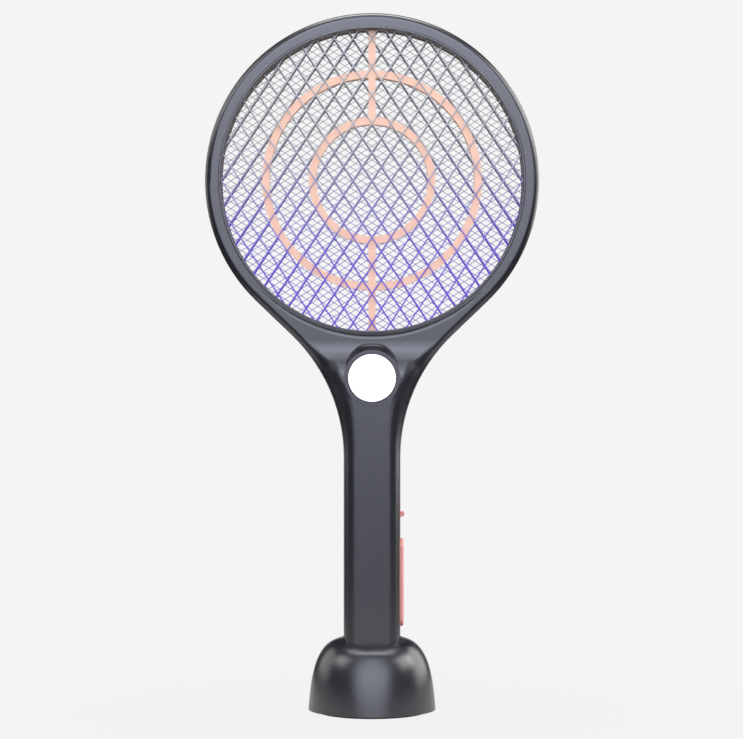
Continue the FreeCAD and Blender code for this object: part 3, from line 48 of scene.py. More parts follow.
class Signal:
    """A shader socket whose arithmetic adds Math nodes to its graph."""

    def __init__(self, graph: "Graph", socket: bpy.types.NodeSocket) -> None:
        """Wraps an output socket of a node in the graph."""
        self.graph = graph
        self.socket = socket

    def _math(self, operation: str, *terms: "Signal | float") -> "Signal":
        """Adds one Math node over the terms and wraps its result."""
        inputs = dict(enumerate(terms))
        return self.graph.signal("ShaderNodeMath", {"operation": operation}, inputs)

    def __add__(self, other: "Signal | float") -> "Signal":
        """Sum."""
        return self._math("ADD", self, other)

    def __radd__(self, other: float) -> "Signal":
        """Sum with a number on the left."""
        return self._math("ADD", other, self)

    def __sub__(self, other: "Signal | float") -> "Signal":
        """Difference."""
        return self._math("SUBTRACT", self, other)

    def __rsub__(self, other: float) -> "Signal":
        """Difference from a number on the left."""
        return self._math("SUBTRACT", other, self)

    def __mul__(self, other: "Signal | float") -> "Signal":
        """Product."""
        return self._math("MULTIPLY", self, other)

    def __rmul__(self, other: float) -> "Signal":
        """Product with a number on the left."""
        return self._math("MULTIPLY", other, self)

    def through(self, function: str) -> "Signal":
        """Puts the signal through a Math function of one value, such as SINE."""
        return self._math(function, self)

    def swing(self, amount: float) -> "Signal":
        """Turns a pattern round 0.5 into one round 0 that is amount from end to end."""
        return amount * (self - 0.5)

    def ramp(self, low: float, high: float) -> "Signal":
        """Eases the range low..high into 0..1, held at both ends.

        Args:
            low: the value that becomes 0.
            high: the value that becomes 1.

        Returns:
            The mapped signal.
        """
        limits = {"From Min": low, "From Max": high, "To Min": 0.0, "To Max": 1.0}
        settings = {"interpolation_type": "SMOOTHSTEP"}
        return self.graph.signal("ShaderNodeMapRange", settings, {"Value": self} | limits)


class Graph:
    """Builds one node tree: every node comes from the node method."""

    MIX_INPUTS: ClassVar[tuple[int, int, int]] = (0, 6, 7)  # factor and the two colours
    MIX_RESULT: ClassVar[int] = 2  # the blended colour

    def __init__(self, tree: bpy.types.NodeTree) -> None:
        """Takes over a node tree and empties it."""
        self.tree = tree
        tree.nodes.clear()

    @classmethod
    def material(cls, name: str) -> tuple["Graph", bpy.types.Material]:
        """Makes a new material.

        Args:
            name: the material's name.

        Returns:
            The graph of its nodes, and the material.
        """
        made = bpy.data.materials.new(name)
        made.use_nodes = True
        return cls(made.node_tree), made

    def node(self, kind: str, settings: dict[str, str | float] | None = None,
             inputs: dict[str | int, object] | None = None) -> bpy.types.Node:
        """Adds a node.

        Args:
            kind: the node's type.
            settings: attributes, which are set first.
            inputs: values, sockets or signals by socket name or number.

        Returns:
            The node.
        """
        made = self.tree.nodes.new(kind)
        for name, value in (settings or {}).items():
            setattr(made, name, value)
        for key, value in (inputs or {}).items():
            if isinstance(value, Signal):
                value = value.socket
            if isinstance(value, bpy.types.NodeSocket):
                self.tree.links.new(value, made.inputs[key])
            else:
                made.inputs[key].default_value = value
        return made

    def signal(self, kind: str, settings: dict[str, str | float] | None = None,
               inputs: dict[str | int, object] | None = None, output: int = 0) -> Signal:
        """Adds a node and wraps one of its outputs."""
        return Signal(self, self.node(kind, settings, inputs).outputs[output])

    def place(self) -> bpy.types.NodeSocket:
        """Gives the object coordinates, in metres in the model's frame."""
        return self.node("ShaderNodeTexCoord").outputs["Object"]

    def split(self, vector: bpy.types.NodeSocket) -> tuple[Signal, Signal, Signal]:
        """Gives the three parts of a vector as signals."""
        parts = self.node("ShaderNodeSeparateXYZ", None, {0: vector}).outputs
        return Signal(self, parts["X"]), Signal(self, parts["Y"]), Signal(self, parts["Z"])

    def rays(self) -> tuple[Signal, Signal, Signal]:
        """Tells camera rays, mirrored rays and transmitted rays from all others.

        Returns:
            Three signals, each 1 on rays of its kind and 0 elsewhere.
        """
        path = self.node("ShaderNodeLightPath").outputs
        kinds = ("Camera", "Glossy", "Transmission")
        return tuple(Signal(self, path[f"Is {kind} Ray"]) for kind in kinds)

    def noise(self, size: float, detail: float = 2.0, roughness: float = 0.5,
              stretch: Place = (1.0, 1.0, 1.0)) -> Signal:
        """Adds noise whose features are about size metres across.

        Args:
            size: width of one feature.
            detail: number of finer layers.
            roughness: weight of the finer layers.
            stretch: lengthens the features along each axis.

        Returns:
            A pattern round 0.5.
        """
        scale = tuple(1.0 / (size * part) for part in stretch)
        spread = {"Vector": self.place(), "Scale": scale}
        mapped = self.node("ShaderNodeMapping", None, spread).outputs["Vector"]
        inputs = {"Vector": mapped, "Scale": 1.0, "Detail": detail, "Roughness": roughness}
        return self.signal("ShaderNodeTexNoise", None, inputs)

    def colours(self, factor: Signal, first: Colour | Signal,
                second: Colour | Signal) -> Signal:
        """Blends two colours.

        Args:
            factor: 0 gives the first colour and 1 the second.
            first: a colour or a colour signal.
            second: a colour or a colour signal.

        Returns:
            The blended colour.
        """
        ends = ((*end, 1.0) if isinstance(end, tuple) else end for end in (first, second))
        inputs = dict(zip(self.MIX_INPUTS, (factor, *ends)))
        return self.signal("ShaderNodeMix", {"data_type": "RGBA"}, inputs, self.MIX_RESULT)

    def bump(self, height: Signal, strength: float, distance: float) -> Signal:
        """Turns a height into a normal."""
        inputs = {"Height": height, "Strength": strength, "Distance": distance}
        return self.signal("ShaderNodeBump", None, inputs)

    def surface(self, inputs: dict[str | int, object]) -> None:
        """Adds the Principled surface with the given inputs and puts it out."""
        shader = self.node("ShaderNodeBsdfPrincipled", None, inputs)
        self.node("ShaderNodeOutputMaterial", None, {"Surface": shader.outputs[0]})


# -------------------------------------------------------------------------- finishes


class Recipe(Protocol):
    """What every finish offers: its name, and its material."""

    @property
    def name(self) -> str:
        """The material's name."""

    def build(self) -> bpy.types.Material:
        """Makes the material."""


@dataclass(frozen=True)
class DarkCorner:
    """Shade on the outermost part of an upright hoop, deep in the corner by the rim.

    Attributes:
        hub: the hoop's centre.
        reach: distance from the hub beyond which the shade sets in.
        fade: width over which it sets in.
        colour: the shade's colour.
        share: how much of the plastic's own colour it covers.
    """

    hub: Place
    reach: float
    fade: float = 1.0 * MM
    colour: Colour = (0.07, 0.022, 0.014)
    share: float = 0.85

    def cover(self, graph: Graph, own: Signal) -> Signal:
        """Darkens a colour by its squared distance from the hub on X and Z.

        Args:
            graph: the material's graph.
            own: the plastic's own colour.

        Returns:
            The colour with the shade over it.
        """
        across, _, up = graph.split(graph.place())
        across, up = across - self.hub[0], up - self.hub[2]
        away = across * across + up * up
        corner = away.ramp(self.reach ** 2, (self.reach + self.fade) ** 2)
        return graph.colours(self.share * corner, own, self.colour)


@dataclass(frozen=True)
class Plastic:
    """Moulded plastic with a fine grain, in a colour that wanders in soft clouds.

    Attributes:
        name: the material's name.
        colour: its colour.
        roughness: middle of its roughness.
        grain: width of one grain in metres.
        relief: depth of the grain in metres.
        mottle: how far the colour wanders to either side.
        coat: weight of a clear coat.
        specular: level of its reflections.
        scatter: weight of light scattered under the surface.
        corner: the shade on its outermost part, where it stands in a deep corner.
    """

    name: str
    colour: Colour
    roughness: float
    grain: float = 0.35 * MM
    relief: float = 0.01 * MM
    mottle: float = 0.04
    coat: float = 0.0
    specular: float = 0.5
    scatter: float = 0.0
    corner: DarkCorner | None = None

    CLOUD: ClassVar[float] = 18.0 * MM  # width of one cloud
    CLOUD_SHARE: ClassVar[float] = 0.7  # of the colour's wander; the grain has the rest
    CONTRAST: ClassVar[tuple[float, float]] = (0.3, 0.7)  # of either pattern in the colour
    CLOUD_SWING: ClassVar[float] = 0.05  # of the roughness
    GRAIN_SWING: ClassVar[float] = 0.06  # of the roughness
    GRAIN_BUMP: ClassVar[float] = 0.35
    COAT_ROUGHNESS: ClassVar[float] = 0.12
    SCATTER_RADIUS: ClassVar[Colour] = (0.004, 0.002, 0.0015)

    def build(self) -> bpy.types.Material:
        """Makes the material.

        Returns:
            The material.
        """
        graph, made = Graph.material(self.name)
        cloud = graph.noise(self.CLOUD, detail=3.0)
        fine = graph.noise(self.grain, roughness=0.6)
        wander = (self.CLOUD_SHARE * cloud.ramp(*self.CONTRAST)
                  + (1.0 - self.CLOUD_SHARE) * fine.ramp(*self.CONTRAST))
        dark = tuple(part * (1.0 - self.mottle) for part in self.colour)
        light = tuple(min(part * (1.0 + self.mottle), 1.0) for part in self.colour)
        colour = graph.colours(wander, dark, light)
        roughness = (self.roughness + cloud.swing(self.CLOUD_SWING)
                     + fine.swing(self.GRAIN_SWING))
        inputs = {
            "Base Color": self.corner.cover(graph, colour) if self.corner else colour,
            "Roughness": roughness,
            "Normal": graph.bump(fine, self.GRAIN_BUMP, self.relief),
            "Specular IOR Level": self.specular,
            "Coat Weight": self.coat,
            "Coat Roughness": self.COAT_ROUGHNESS,
        }
        if self.scatter:
            inputs["Subsurface Weight"] = self.scatter
            inputs["Subsurface Radius"] = self.SCATTER_RADIUS
        graph.surface(inputs)
        return made


@dataclass(frozen=True)
class Metal:
    """Drawn, rolled or plated metal with fine marks and duller patches.

    Attributes:
        name: the material's name.
        colour: its colour.
        roughness: middle of its roughness.
        stretch: lengthens the marks along each axis.
        tarnish: colour in the duller patches.
    """

    name: str
    colour: Colour
    roughness: float = 0.28
    stretch: Place = (1.0, 1.0, 1.0)
    tarnish: Colour = (0.35, 0.33, 0.30)

    MARK: ClassVar[float] = 0.4 * MM  # width of one mark
    MARK_SWING: ClassVar[float] = 0.15  # of the roughness
    MARK_BUMP: ClassVar[float] = 0.25
    MARK_DEPTH: ClassVar[float] = 0.01 * MM
    PATCH: ClassVar[float] = 6.0 * MM  # width of one patch
    PATCH_EDGE: ClassVar[tuple[float, float]] = (0.5, 0.8)  # where it begins and is full
    PATCH_SHARE: ClassVar[float] = 0.35  # of the tarnish in a full patch
    PATCH_SWING: ClassVar[float] = 0.08  # of the roughness

    def build(self) -> bpy.types.Material:
        """Makes the material.

        Returns:
            The material.
        """
        graph, made = Graph.material(self.name)
        marks = graph.noise(self.MARK, detail=3.0, roughness=0.6, stretch=self.stretch)
        patches = graph.noise(self.PATCH, detail=3.0)
        dulled = self.PATCH_SHARE * patches.ramp(*self.PATCH_EDGE)
        graph.surface({
            "Base Color": graph.colours(dulled, self.colour, self.tarnish),
            "Metallic": 1.0,
            "Roughness": (self.roughness + marks.swing(self.MARK_SWING)
                          + patches.swing(self.PATCH_SWING)),
            "Normal": graph.bump(marks, self.MARK_BUMP, self.MARK_DEPTH),
        })
        return made


@dataclass(frozen=True)
class LitWire:
    """Net wire with the lure lamps' violet light painted on, fading with height.

    Attributes:
        name: the material's name.
        low: height up to which the painted light is full.
        high: height from which there is no painted light.
        bare: the wire's colour away from the lamps' light.
        glow: the colour of the lamps' light, painted on it as emission.
        tint: the wire's colour where the lamps' light is painted at full.
        strength: brightness of the painted glow at its fullest.
    """

    name: str
    low: float
    high: float
    bare: Colour
    glow: Colour
    tint: Colour = (0.06, 0.045, 0.20)
    strength: float = 0.85

    TINT_SHARE: ClassVar[float] = 0.9  # of the tint in full light
    METALLIC: ClassVar[float] = 0.35
    ROUGHNESS: ClassVar[float] = 0.34
    MARK: ClassVar[float] = 0.5 * MM  # width of one mark
    MARK_SWING: ClassVar[float] = 0.1  # of the roughness

    def build(self) -> bpy.types.Material:
        """Makes the material.

        Returns:
            The material.
        """
        graph, made = Graph.material(self.name)
        _, _, height = graph.split(graph.place())
        marks = graph.noise(self.MARK)
        # painted light: 1 where the lure lamps' light is painted at full, 0 above its fade
        lit = 1.0 - height.ramp(self.low, self.high)
        graph.surface({
            "Base Color": graph.colours(lit * self.TINT_SHARE, self.bare, self.tint),
            "Metallic": self.METALLIC,
            "Roughness": self.ROUGHNESS + marks.swing(self.MARK_SWING),
            "Emission Color": graph.colours(lit, UNLIT, self.glow),
            "Emission Strength": self.strength,
        })
        return made


@dataclass(frozen=True)
class Lit:
    """A part that shines by itself, with a little structure in it.

    Attributes:
        name: the material's name.
        colour: the colour of its own surface.
        glow: the colour of its light.
        strength: brightness of its light.
        cell: width of the facets that break the light up.
    """

    name: str
    colour: Colour
    glow: Colour
    strength: float
    cell: float = 1.2 * MM

    DIMMED: ClassVar[float] = 0.96  # what is left of the light between the facets
    ROUGHNESS: ClassVar[float] = 0.16  # in a facet's middle
    ROUGHER: ClassVar[float] = 0.05  # added towards its edge
    FACET_BUMP: ClassVar[float] = 0.2
    FACET_DEPTH: ClassVar[float] = 0.05 * MM

    def build(self) -> bpy.types.Material:
        """Makes the material.

        Returns:
            The material.
        """
        graph, made = Graph.material(self.name)
        cells = {"Vector": graph.place(), "Scale": 1.0 / self.cell}
        facets = graph.signal("ShaderNodeTexVoronoi", None, cells)
        dim = tuple(self.DIMMED * part for part in self.glow)
        graph.surface({
            "Base Color": (*self.colour, 1.0),
            "Roughness": self.ROUGHNESS + self.ROUGHER * facets,
            "Normal": graph.bump(facets, self.FACET_BUMP, self.FACET_DEPTH),
            "Emission Color": graph.colours(facets, self.glow, dim),
            "Emission Strength": self.strength,
        })
        return made


@dataclass(frozen=True)
class CircuitBoard:
    """Lacquered circuit board with copper lines under the lacquer.

    Attributes:
        name: the material's name.
        lacquer: colour of the lacquer.
        line: colour over the copper.
        pitch: unit of the lines' layout.
    """

    name: str
    lacquer: Colour = (0.012, 0.085, 0.035)
    line: Colour = (0.035, 0.20, 0.08)
    pitch: float = 2.6 * MM

    STAGGER: ClassVar[dict[str, float]] = {  # of every other row, in cells
        "offset": 0.5, "squash": 0.6,
    }
    LAYOUT: ClassVar[dict[str, float]] = {  # in pitches
        "Mortar Size": 0.09, "Brick Width": 2.2, "Row Height": 0.8,
    }
    WANDER: ClassVar[float] = 4.0 * MM  # width of one patch of lines
    WANDER_EDGE: ClassVar[tuple[float, float]] = (0.35, 0.6)  # where the lines set in
    ROUGHNESS: ClassVar[float] = 0.32
    WANDER_SWING: ClassVar[float] = 0.1  # of the roughness
    LINE_BUMP: ClassVar[float] = 0.3
    LINE_HEIGHT: ClassVar[float] = 0.04 * MM
    COAT: ClassVar[float] = 0.4
    COAT_ROUGHNESS: ClassVar[float] = 0.15

    def build(self) -> bpy.types.Material:
        """Makes the material.

        Returns:
            The material.
        """
        graph, made = Graph.material(self.name)
        inputs = {"Vector": graph.place(), "Scale": 1.0 / self.pitch} | self.LAYOUT
        brick = graph.node("ShaderNodeTexBrick", self.STAGGER, inputs)
        lines = Signal(graph, brick.outputs["Fac"])
        wander = graph.noise(self.WANDER, detail=3.0)
        copper = lines * wander.ramp(*self.WANDER_EDGE)
        graph.surface({
            "Base Color": graph.colours(copper, self.lacquer, self.line),
            "Roughness": self.ROUGHNESS + wander.swing(self.WANDER_SWING),
            "Normal": graph.bump(lines, self.LINE_BUMP, self.LINE_HEIGHT),
            "Coat Weight": self.COAT,
            "Coat Roughness": self.COAT_ROUGHNESS,
        })
        return made


@dataclass(frozen=True)
class Winding:
    """Ferrite with bands of copper wire, told apart by how far out they stand.

    Attributes:
        name: the material's name.
        edge: distance from the plane of X and Z beyond which the wire shows.
        wire: thickness of one turn.
        ferrite: colour of the core.
        groove_shade: colour of the copper between two turns, painted darker as shade.
        crest: colour of the copper on top of a turn.
    """

    name: str
    edge: float
    wire: float = 0.35 * MM
    ferrite: Colour = (0.045, 0.045, 0.05)
    groove_shade: Colour = (0.30, 0.11, 0.04)
    crest: Colour = (0.66, 0.30, 0.13)

    BLUR: ClassVar[float] = 0.1 * MM  # width of the change from core to wire
    METALLIC: ClassVar[float] = 0.8  # of the copper
    ROUGHNESS: ClassVar[float] = 0.55  # of the core
    SMOOTHER: ClassVar[float] = 0.25  # taken off on the copper
    GRAIN: ClassVar[float] = 0.8 * MM
    GRAIN_SWING: ClassVar[float] = 0.1  # of the roughness
    TURN_BUMP: ClassVar[float] = 0.5
    TURN_DEPTH: ClassVar[float] = 0.1 * MM

    def build(self) -> bpy.types.Material:
        """Makes the material, with the turns as a sine wave of the height.

        Returns:
            The material.
        """
        graph, made = Graph.material(self.name)
        _, depth, height = graph.split(graph.place())
        wave = 0.5 + 0.5 * (height * (math.tau / self.wire)).through("SINE")
        copper = depth.through("ABSOLUTE").ramp(self.edge, self.edge + self.BLUR)
        # painted shade: the copper between the turns is darker than on their crests
        wound = graph.colours(wave, self.groove_shade, self.crest)
        smooth = self.ROUGHNESS - self.SMOOTHER * copper
        graph.surface({
            "Base Color": graph.colours(copper, self.ferrite, wound),
            "Metallic": copper * self.METALLIC,
            "Roughness": smooth + graph.noise(self.GRAIN).swing(self.GRAIN_SWING),
            "Normal": graph.bump(wave * copper, self.TURN_BUMP, self.TURN_DEPTH),
        })
        return made


class Finish(Enum):
    """The finishes of the swatter and its base."""

    GRAPHITE = Plastic("graphite_plastic", (0.012, 0.0122, 0.0165), roughness=0.31,
                       mottle=0.06, specular=1.0)
    CORAL = Plastic("coral_plastic", (0.75, 0.33, 0.275), roughness=0.38, mottle=0.03,
                    scatter=0.15)
    PALE_CORAL = Plastic("pale_coral_plastic", (0.93, 0.575, 0.40), roughness=0.42,
                         mottle=0.03)
    BEZEL = Plastic("bezel_plastic", (0.016, 0.016, 0.030), roughness=0.22, mottle=0.03,
                    coat=0.3)
    BLACK = Plastic("black_resin", (0.022, 0.022, 0.025), roughness=0.48, grain=0.6 * MM,
                    relief=0.02 * MM)
    BROWN = Plastic("dipped_resin", (0.30, 0.08, 0.035), roughness=0.22, grain=1.0 * MM,
                    coat=0.4)
    SLEEVE = Plastic("cell_sleeve", (0.02, 0.12, 0.34), roughness=0.26, grain=2.0 * MM,
                     coat=0.3)
    JACKET = Plastic("lead_jacket", (0.42, 0.03, 0.025), roughness=0.42, grain=0.5 * MM)
    RUBBER = Plastic("foot_rubber", (0.012, 0.012, 0.013), roughness=0.72,
                     grain=0.4 * MM, relief=0.03 * MM, mottle=0.12)
    LENS = Lit("torch_lens", (0.95, 0.95, 0.97), glow=WHITE, strength=1.0)
    LAMP = Lit("torch_lamp", (0.9, 0.85, 0.45), glow=(1.0, 0.98, 0.9), strength=2.0,
               cell=0.4 * MM)
    LURE = Lit("lure_lamp", (0.30, 0.16, 0.85), glow=(0.35, 0.18, 1.0), strength=2.2,
               cell=0.6 * MM)
    BOARD = CircuitBoard("circuit_board")
    STEEL = Metal("bright_steel", (0.62, 0.63, 0.66))
    DARK_STEEL = Metal("black_zinc_steel", (0.10, 0.10, 0.11), roughness=0.38)
    BALLAST = Metal("zinc_plated_steel", (0.50, 0.51, 0.54), roughness=0.42)
    MIRROR = Metal("mirror_metal", (0.90, 0.90, 0.92), roughness=0.08)
    NICKEL = Metal("nickel_strip", (0.66, 0.63, 0.56), roughness=0.30,
                   stretch=(6.0, 1.0, 1.0))
    GOLD = Metal("gold_plate", (0.83, 0.58, 0.22), roughness=0.2)


class Paints:
    """Builds each finish once, and dresses the pieces in them."""

    def __init__(self) -> None:
        """Starts with no material built."""
        self._made: dict[str, bpy.types.Material] = {}

    def get(self, finish: Finish | Recipe) -> bpy.types.Material:
        """Gives a finish's material, built at its first use.

        Args:
            finish: the finish, or the recipe of one that isn't in the list.

        Returns:
            The material.
        """
        recipe = finish.value if isinstance(finish, Finish) else finish
        if recipe.name not in self._made:
            self._made[recipe.name] = recipe.build()
        return self._made[recipe.name]

    def dress(self, node: str, finish: Finish | Recipe) -> None:
        """Assigns a finish to every material slot of a CAD piece.

        Args:
            node: the piece's name.
            finish: its finish.

        Raises:
            ValueError: the piece has no slot to take the finish.
        """
        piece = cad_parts[node]
        if not piece.material_slots:
            raise ValueError(f"{node} has no material slot")
        for slot in piece.material_slots:
            slot.link = "OBJECT"
            slot.material = self.get(finish)
        LOG.info("dressed %s in %s", node, self.get(finish).name)


# ------------------------------------------------------------------------ the object


@dataclass
class SubAssembly:
    """CAD pieces that belong together, each with the finish that it wears.

    Attributes:
        paints: the finishes.
    """

    paints: Paints

    WEAR: ClassVar[dict[str, Finish]] = {}

    def build(self) -> None:
        """Dresses each piece."""
        for node, finish in self.WEAR.items():
            self.paints.dress(node, finish)


class Body(SubAssembly):
    """The two housings, the controls and the end cap with its charging pads."""

    WEAR = {
        "front_housing": Finish.GRAPHITE,
        "rear_housing": Finish.GRAPHITE,
        "housing_screws": Finish.DARK_STEEL,
        "trigger_button": Finish.CORAL,
        "switch_escutcheon": Finish.CORAL,
        "switch_knob": Finish.CORAL,
        "handle_end_cap": Finish.GRAPHITE,
        "charge_pads": Finish.GOLD,
    }


class Torch(SubAssembly):
    """The torch in the neck."""

    WEAR = {
        "torch_lens": Finish.LENS,
        "torch_bezel": Finish.BEZEL,
        "torch_reflector": Finish.MIRROR,
        "torch_board": Finish.BOARD,
        "torch_lamp": Finish.LAMP,
    }


class LureLamps(SubAssembly):
    """The violet lamps at the foot of the head."""

    WEAR = {
        "lure_lamps": Finish.LURE,
        "lure_lamp_strips": Finish.BOARD,
        "lamp_leads": Finish.JACKET,
    }


@dataclass
class HandleWorks(SubAssembly):
    """The cell, the circuit board and the switches in the handle.

    Attributes:
        winding: depth of the transformer's copper, in from its front and rear.
    """

    winding: float = 5.2 * MM

    WEAR = {
        "main_circuit_board": Finish.BOARD,
        "hv_capacitor": Finish.BROWN,
        "hv_diodes": Finish.BLACK,
        "board_chips": Finish.BLACK,
        "battery_cell": Finish.SLEEVE,
        "battery_tabs": Finish.NICKEL,
        "battery_leads": Finish.JACKET,
        "net_leads": Finish.JACKET,
        "trigger_springs": Finish.STEEL,
        "trigger_tact_switch": Finish.BLACK,
        "slide_switch_body": Finish.STEEL,
        "switch_lever": Finish.BLACK,
    }

    def build(self) -> None:
        """Dresses each piece, and the transformer by its own depth."""
        super().build()
        low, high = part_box("hv_transformer")
        edge = (high.y - low.y) / 2.0 - self.winding
        self.paints.dress("hv_transformer", Winding("ferrite_and_copper", edge))


@dataclass
class Nets(SubAssembly):
    """The three wire nets, their hoops and the two coral spacers.

    Attributes:
        lit: height above the hoops' foot up to which the lure lamps' painted light is full.
        faded: share of the hoops' height at which that light has faded.
        shaded: width of the spacers' outermost part, the hoop and a little more, that
            is in shade.
    """

    lit: float = 25.0 * MM
    faded: float = 0.72
    shaded: float = 5.0 * MM

    def build(self) -> None:
        """Dresses the wires, with the lamps' light from below painted on, and the spacers.
        """
        low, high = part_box("front_net_hoop")
        full, none = low.z + self.lit, low.z + (high.z - low.z) * self.faded
        front = LitWire("front_guard_wire", full, none,
                        bare=(0.50, 0.50, 0.52), glow=(0.10, 0.055, 0.50))
        live = LitWire("live_wire", full, none,
                       bare=(0.26, 0.26, 0.28), glow=(0.04, 0.018, 0.36))
        # painted shade: the rear net and its hoop, the same steel as the front ones, are
        # painted far darker
        rear = LitWire("shaded_rear_guard_wire", full, none,
                       bare=(0.08, 0.08, 0.09), glow=(0.08, 0.042, 0.46))
        coral = self._spacer_coral()
        wear = {
            "front_guard_net": front,
            "front_net_hoop": front,
            "front_net_spider": coral,
            "high_voltage_net": live,
            "rear_net_spider": coral,
            "rear_guard_net": rear,
            "rear_net_hoop": rear,
        }
        for node, finish in wear.items():
            self.paints.dress(node, finish)

    def _spacer_coral(self) -> Plastic:
        """Works out the spacers' coral, with the shade on their hoops.

        A spacer's radius is half its width, and its hub is that far below its top.

        Returns:
            The finish.
        """
        low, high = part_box("front_net_spider")
        radius = (high.x - low.x) / 2.0
        corner = DarkCorner((0.0, 0.0, high.z - radius), radius - self.shaded)
        return replace(Finish.PALE_CORAL.value, name="hoop_coral", corner=corner)


class Base(SubAssembly):
    """The charging base: its shell, its weight and its contacts."""

    WEAR = {
        "base_shell": Finish.GRAPHITE,
        "base_socket": Finish.GRAPHITE,
        "base_plate": Finish.GRAPHITE,
        "ballast_plate": Finish.BALLAST,
        "rubber_foot_ring": Finish.RUBBER,
        "base_screws": Finish.DARK_STEEL,
        "charge_board": Finish.BOARD,
        "contact_block": Finish.BLACK,
        "contact_pins": Finish.GOLD,
        "contact_springs": Finish.STEEL,
        "usb_socket": Finish.STEEL,
    }


# ------------------------------------------------------------------- camera and light


COOL: Colour = (0.93, 0.96, 1.16)


@dataclass(frozen=True)
class SoftLamp:
    """A soft rectangular lamp that the camera doesn't see.

    Attributes:
        name: the lamp's name.
        place: its middle.
        aim: height of the point that it faces, above the middle of the base.
        size: its width and height.
        power: its power in watts.
        colour: its colour.
    """

    name: str
    place: Place
    aim: float
    size: tuple[float, float]
    power: float
    colour: Colour = WHITE

    def build(self) -> None:
        """Adds the lamp, turned from its place to the point that it faces."""
        data = bpy.data.lights.new(self.name, "AREA")
        data.shape = "RECTANGLE"
        data.size, data.size_y = self.size
        data.energy = self.power
        data.color = self.colour
        lamp = bpy.data.objects.new(self.name, data)
        way = Vector((0.0, 0.0, self.aim)) - Vector(self.place)
        lamp.location = self.place
        lamp.rotation_euler = way.to_track_quat("-Z", "Y").to_euler()
        lamp.visible_camera = False
        bpy.context.scene.collection.objects.link(lamp)


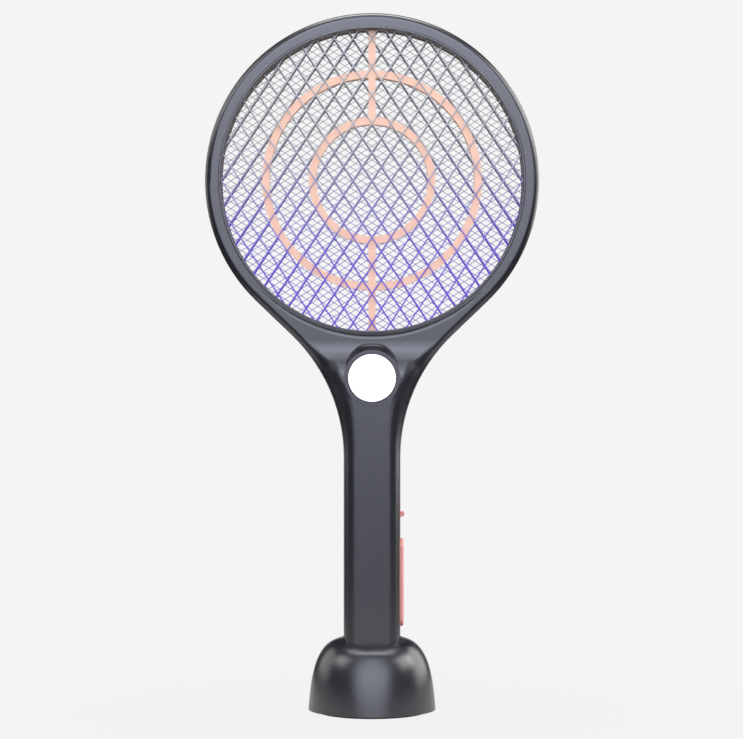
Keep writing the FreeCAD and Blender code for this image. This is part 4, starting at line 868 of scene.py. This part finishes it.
@dataclass
class Studio:
    """Pale floor and backdrop, soft light and the camera.

    Attributes:
        distance: from the camera to the middle of the object.
        aside: of the camera from the middle of the object.
        eye: height of the camera.
        lens: focal length in millimetres.
        sensor: width of the sensor in millimetres.
        backdrop: brightness of the backdrop.
        front: brightness of what the object mirrors from in front and beside it.
        brink: cosine, from straight back, of the angle at which the backdrop begins.
        ambient: brightness of the light from all round.
        pool: radius within which the floor takes a shadow.
        spread: the floor's own radius, in pools.
        core: radius within which the shadow is at its fullest, in pools.
        shade: share of its own light and shadow that the floor shows there.
        floor: the floor's reflectance.
    """

    distance: float = 1.56
    aside: float = -0.00035
    eye: float = 0.229
    lens: float = 112.7
    sensor: float = 36.0
    backdrop: float = 0.905
    front: float = 0.02
    brink: float = 0.94
    ambient: float = 0.22
    pool: float = 0.34
    spread: float = 1.3
    core: float = 0.25
    shade: float = 0.05
    floor: float = 0.40

    SIDES: ClassVar[int] = 96  # of the floor's outline
    LAMPS: ClassVar[tuple[SoftLamp, ...]] = (  # name, place, aim, size, power, colour
        SoftLamp("front", (0.0, -3.90, 1.22), 1.22, (3.3, 2.16), 61.0, COOL),
        SoftLamp("upper_front", (0.0, -1.20, 0.90), 0.35, (1.0, 0.42), 3.3, COOL),
        SoftLamp("crown", (0.0, -0.85, 1.18), 0.20, (0.6, 0.56), 2.4, COOL),
        SoftLamp("top", (0.0, 0.10, 1.45), 0.20, (0.8, 0.5), 10.0),
        SoftLamp("left", (-0.86, -0.42, 0.98), 0.10, (0.6, 0.6), 3.8),
        SoftLamp("right", (0.98, -0.30, 0.94), 0.10, (0.9, 0.7), 8.0),
        SoftLamp("left_side", (-1.15, 0.44, 0.62), 0.12, (1.2, 1.0), 5.4),
        SoftLamp("right_side", (1.12, 0.46, 0.62), 0.12, (1.3, 1.1), 13.0),
    )

    def build(self) -> None:
        """Sets up everything round the object."""
        self._camera()
        self._world()
        self._floor()
        for lamp in self.LAMPS:
            lamp.build()
        bpy.context.scene.view_settings.view_transform = "Standard"

    def _camera(self) -> None:
        """Puts a level camera, turned to look along +Y, in front of the object."""
        data = bpy.data.cameras.new("camera")
        data.lens = self.lens
        data.sensor_width = self.sensor
        camera = bpy.data.objects.new("camera", data)
        camera.location = (self.aside, -self.distance, self.eye)
        camera.rotation_euler = (math.pi / 2.0, 0.0, 0.0)
        bpy.context.scene.collection.objects.link(camera)
        bpy.context.scene.camera = camera

    def _world(self) -> None:
        """Lights from all round, and shows pale behind the object and dark in front."""
        world = bpy.data.worlds.new("studio")
        world.use_nodes = True
        bpy.context.scene.world = world
        graph = Graph(world.node_tree)
        seen, mirrored, through = graph.rays()
        _, back, _ = graph.split(graph.node("ShaderNodeTexCoord").outputs["Generated"])
        image = self.front + (self.backdrop - self.front) * back.ramp(self.brink, 1.0)
        pale = self.backdrop * seen + (mirrored + through) * image
        soft = (1.0 - seen - mirrored - through) * self.ambient
        lit = graph.node("ShaderNodeBackground", None,
                         {"Color": (*WHITE, 1.0), "Strength": pale + soft})
        graph.node("ShaderNodeOutputWorld", None, {"Surface": lit.outputs[0]})

    def _floor(self) -> None:
        """Lays the floor.

        It is a round fan of triangles, from the middle to points at equal angles on a
        circle, each at the cosine and the sine of its angle times the circle's radius.
        """
        around = np.arange(self.SIDES)
        turn = around * (math.tau / self.SIDES)
        circle = np.stack([np.cos(turn), np.sin(turn), np.zeros(self.SIDES)], 1)
        points = np.vstack([[0.0, 0.0, 0.0], circle * (self.spread * self.pool)])
        middle = np.zeros(self.SIDES, int)
        faces = np.stack([middle, 1 + around, 1 + (around + 1) % self.SIDES], 1)
        mesh = bpy.data.meshes.new("floor")
        mesh.from_pydata(points.tolist(), [], faces.tolist())
        mesh.materials.append(self._floor_finish())
        floor = bpy.data.objects.new("floor", mesh)
        bpy.context.scene.collection.objects.link(floor)

    def _floor_finish(self) -> bpy.types.Material:
        """Makes a floor that keeps the object's shadow and fades into the backdrop.

        Returns:
            The material.
        """
        graph, made = Graph.material("pale_floor")
        x, y, _ = graph.split(graph.place())
        away = (x * x + y * y).through("SQRT")
        fade = away.ramp(self.core * self.pool, self.pool)
        seen, mirrored, through = graph.rays()
        plain = (seen + mirrored + through) * ((1.0 - self.shade) + self.shade * fade)
        lit = graph.node("ShaderNodeBsdfDiffuse", None, {"Color": (*[self.floor] * 3, 1.0)})
        flat = graph.node("ShaderNodeEmission", None,
                          {"Color": (*WHITE, 1.0), "Strength": self.backdrop})
        mixed = graph.node("ShaderNodeMixShader", None,
                           {0: plain, 1: lit.outputs[0], 2: flat.outputs[0]})
        graph.node("ShaderNodeOutputMaterial", None, {"Surface": mixed.outputs[0]})
        return made


def main() -> None:
    """Builds the classes in order."""
    logging.basicConfig(level=logging.INFO, format="%(message)s")
    paints = Paints()
    Studio().build()
    for assembly in (Body, Torch, LureLamps, HandleWorks, Nets, Base):
        assembly(paints).build()


if __name__ == "__main__":
    main()
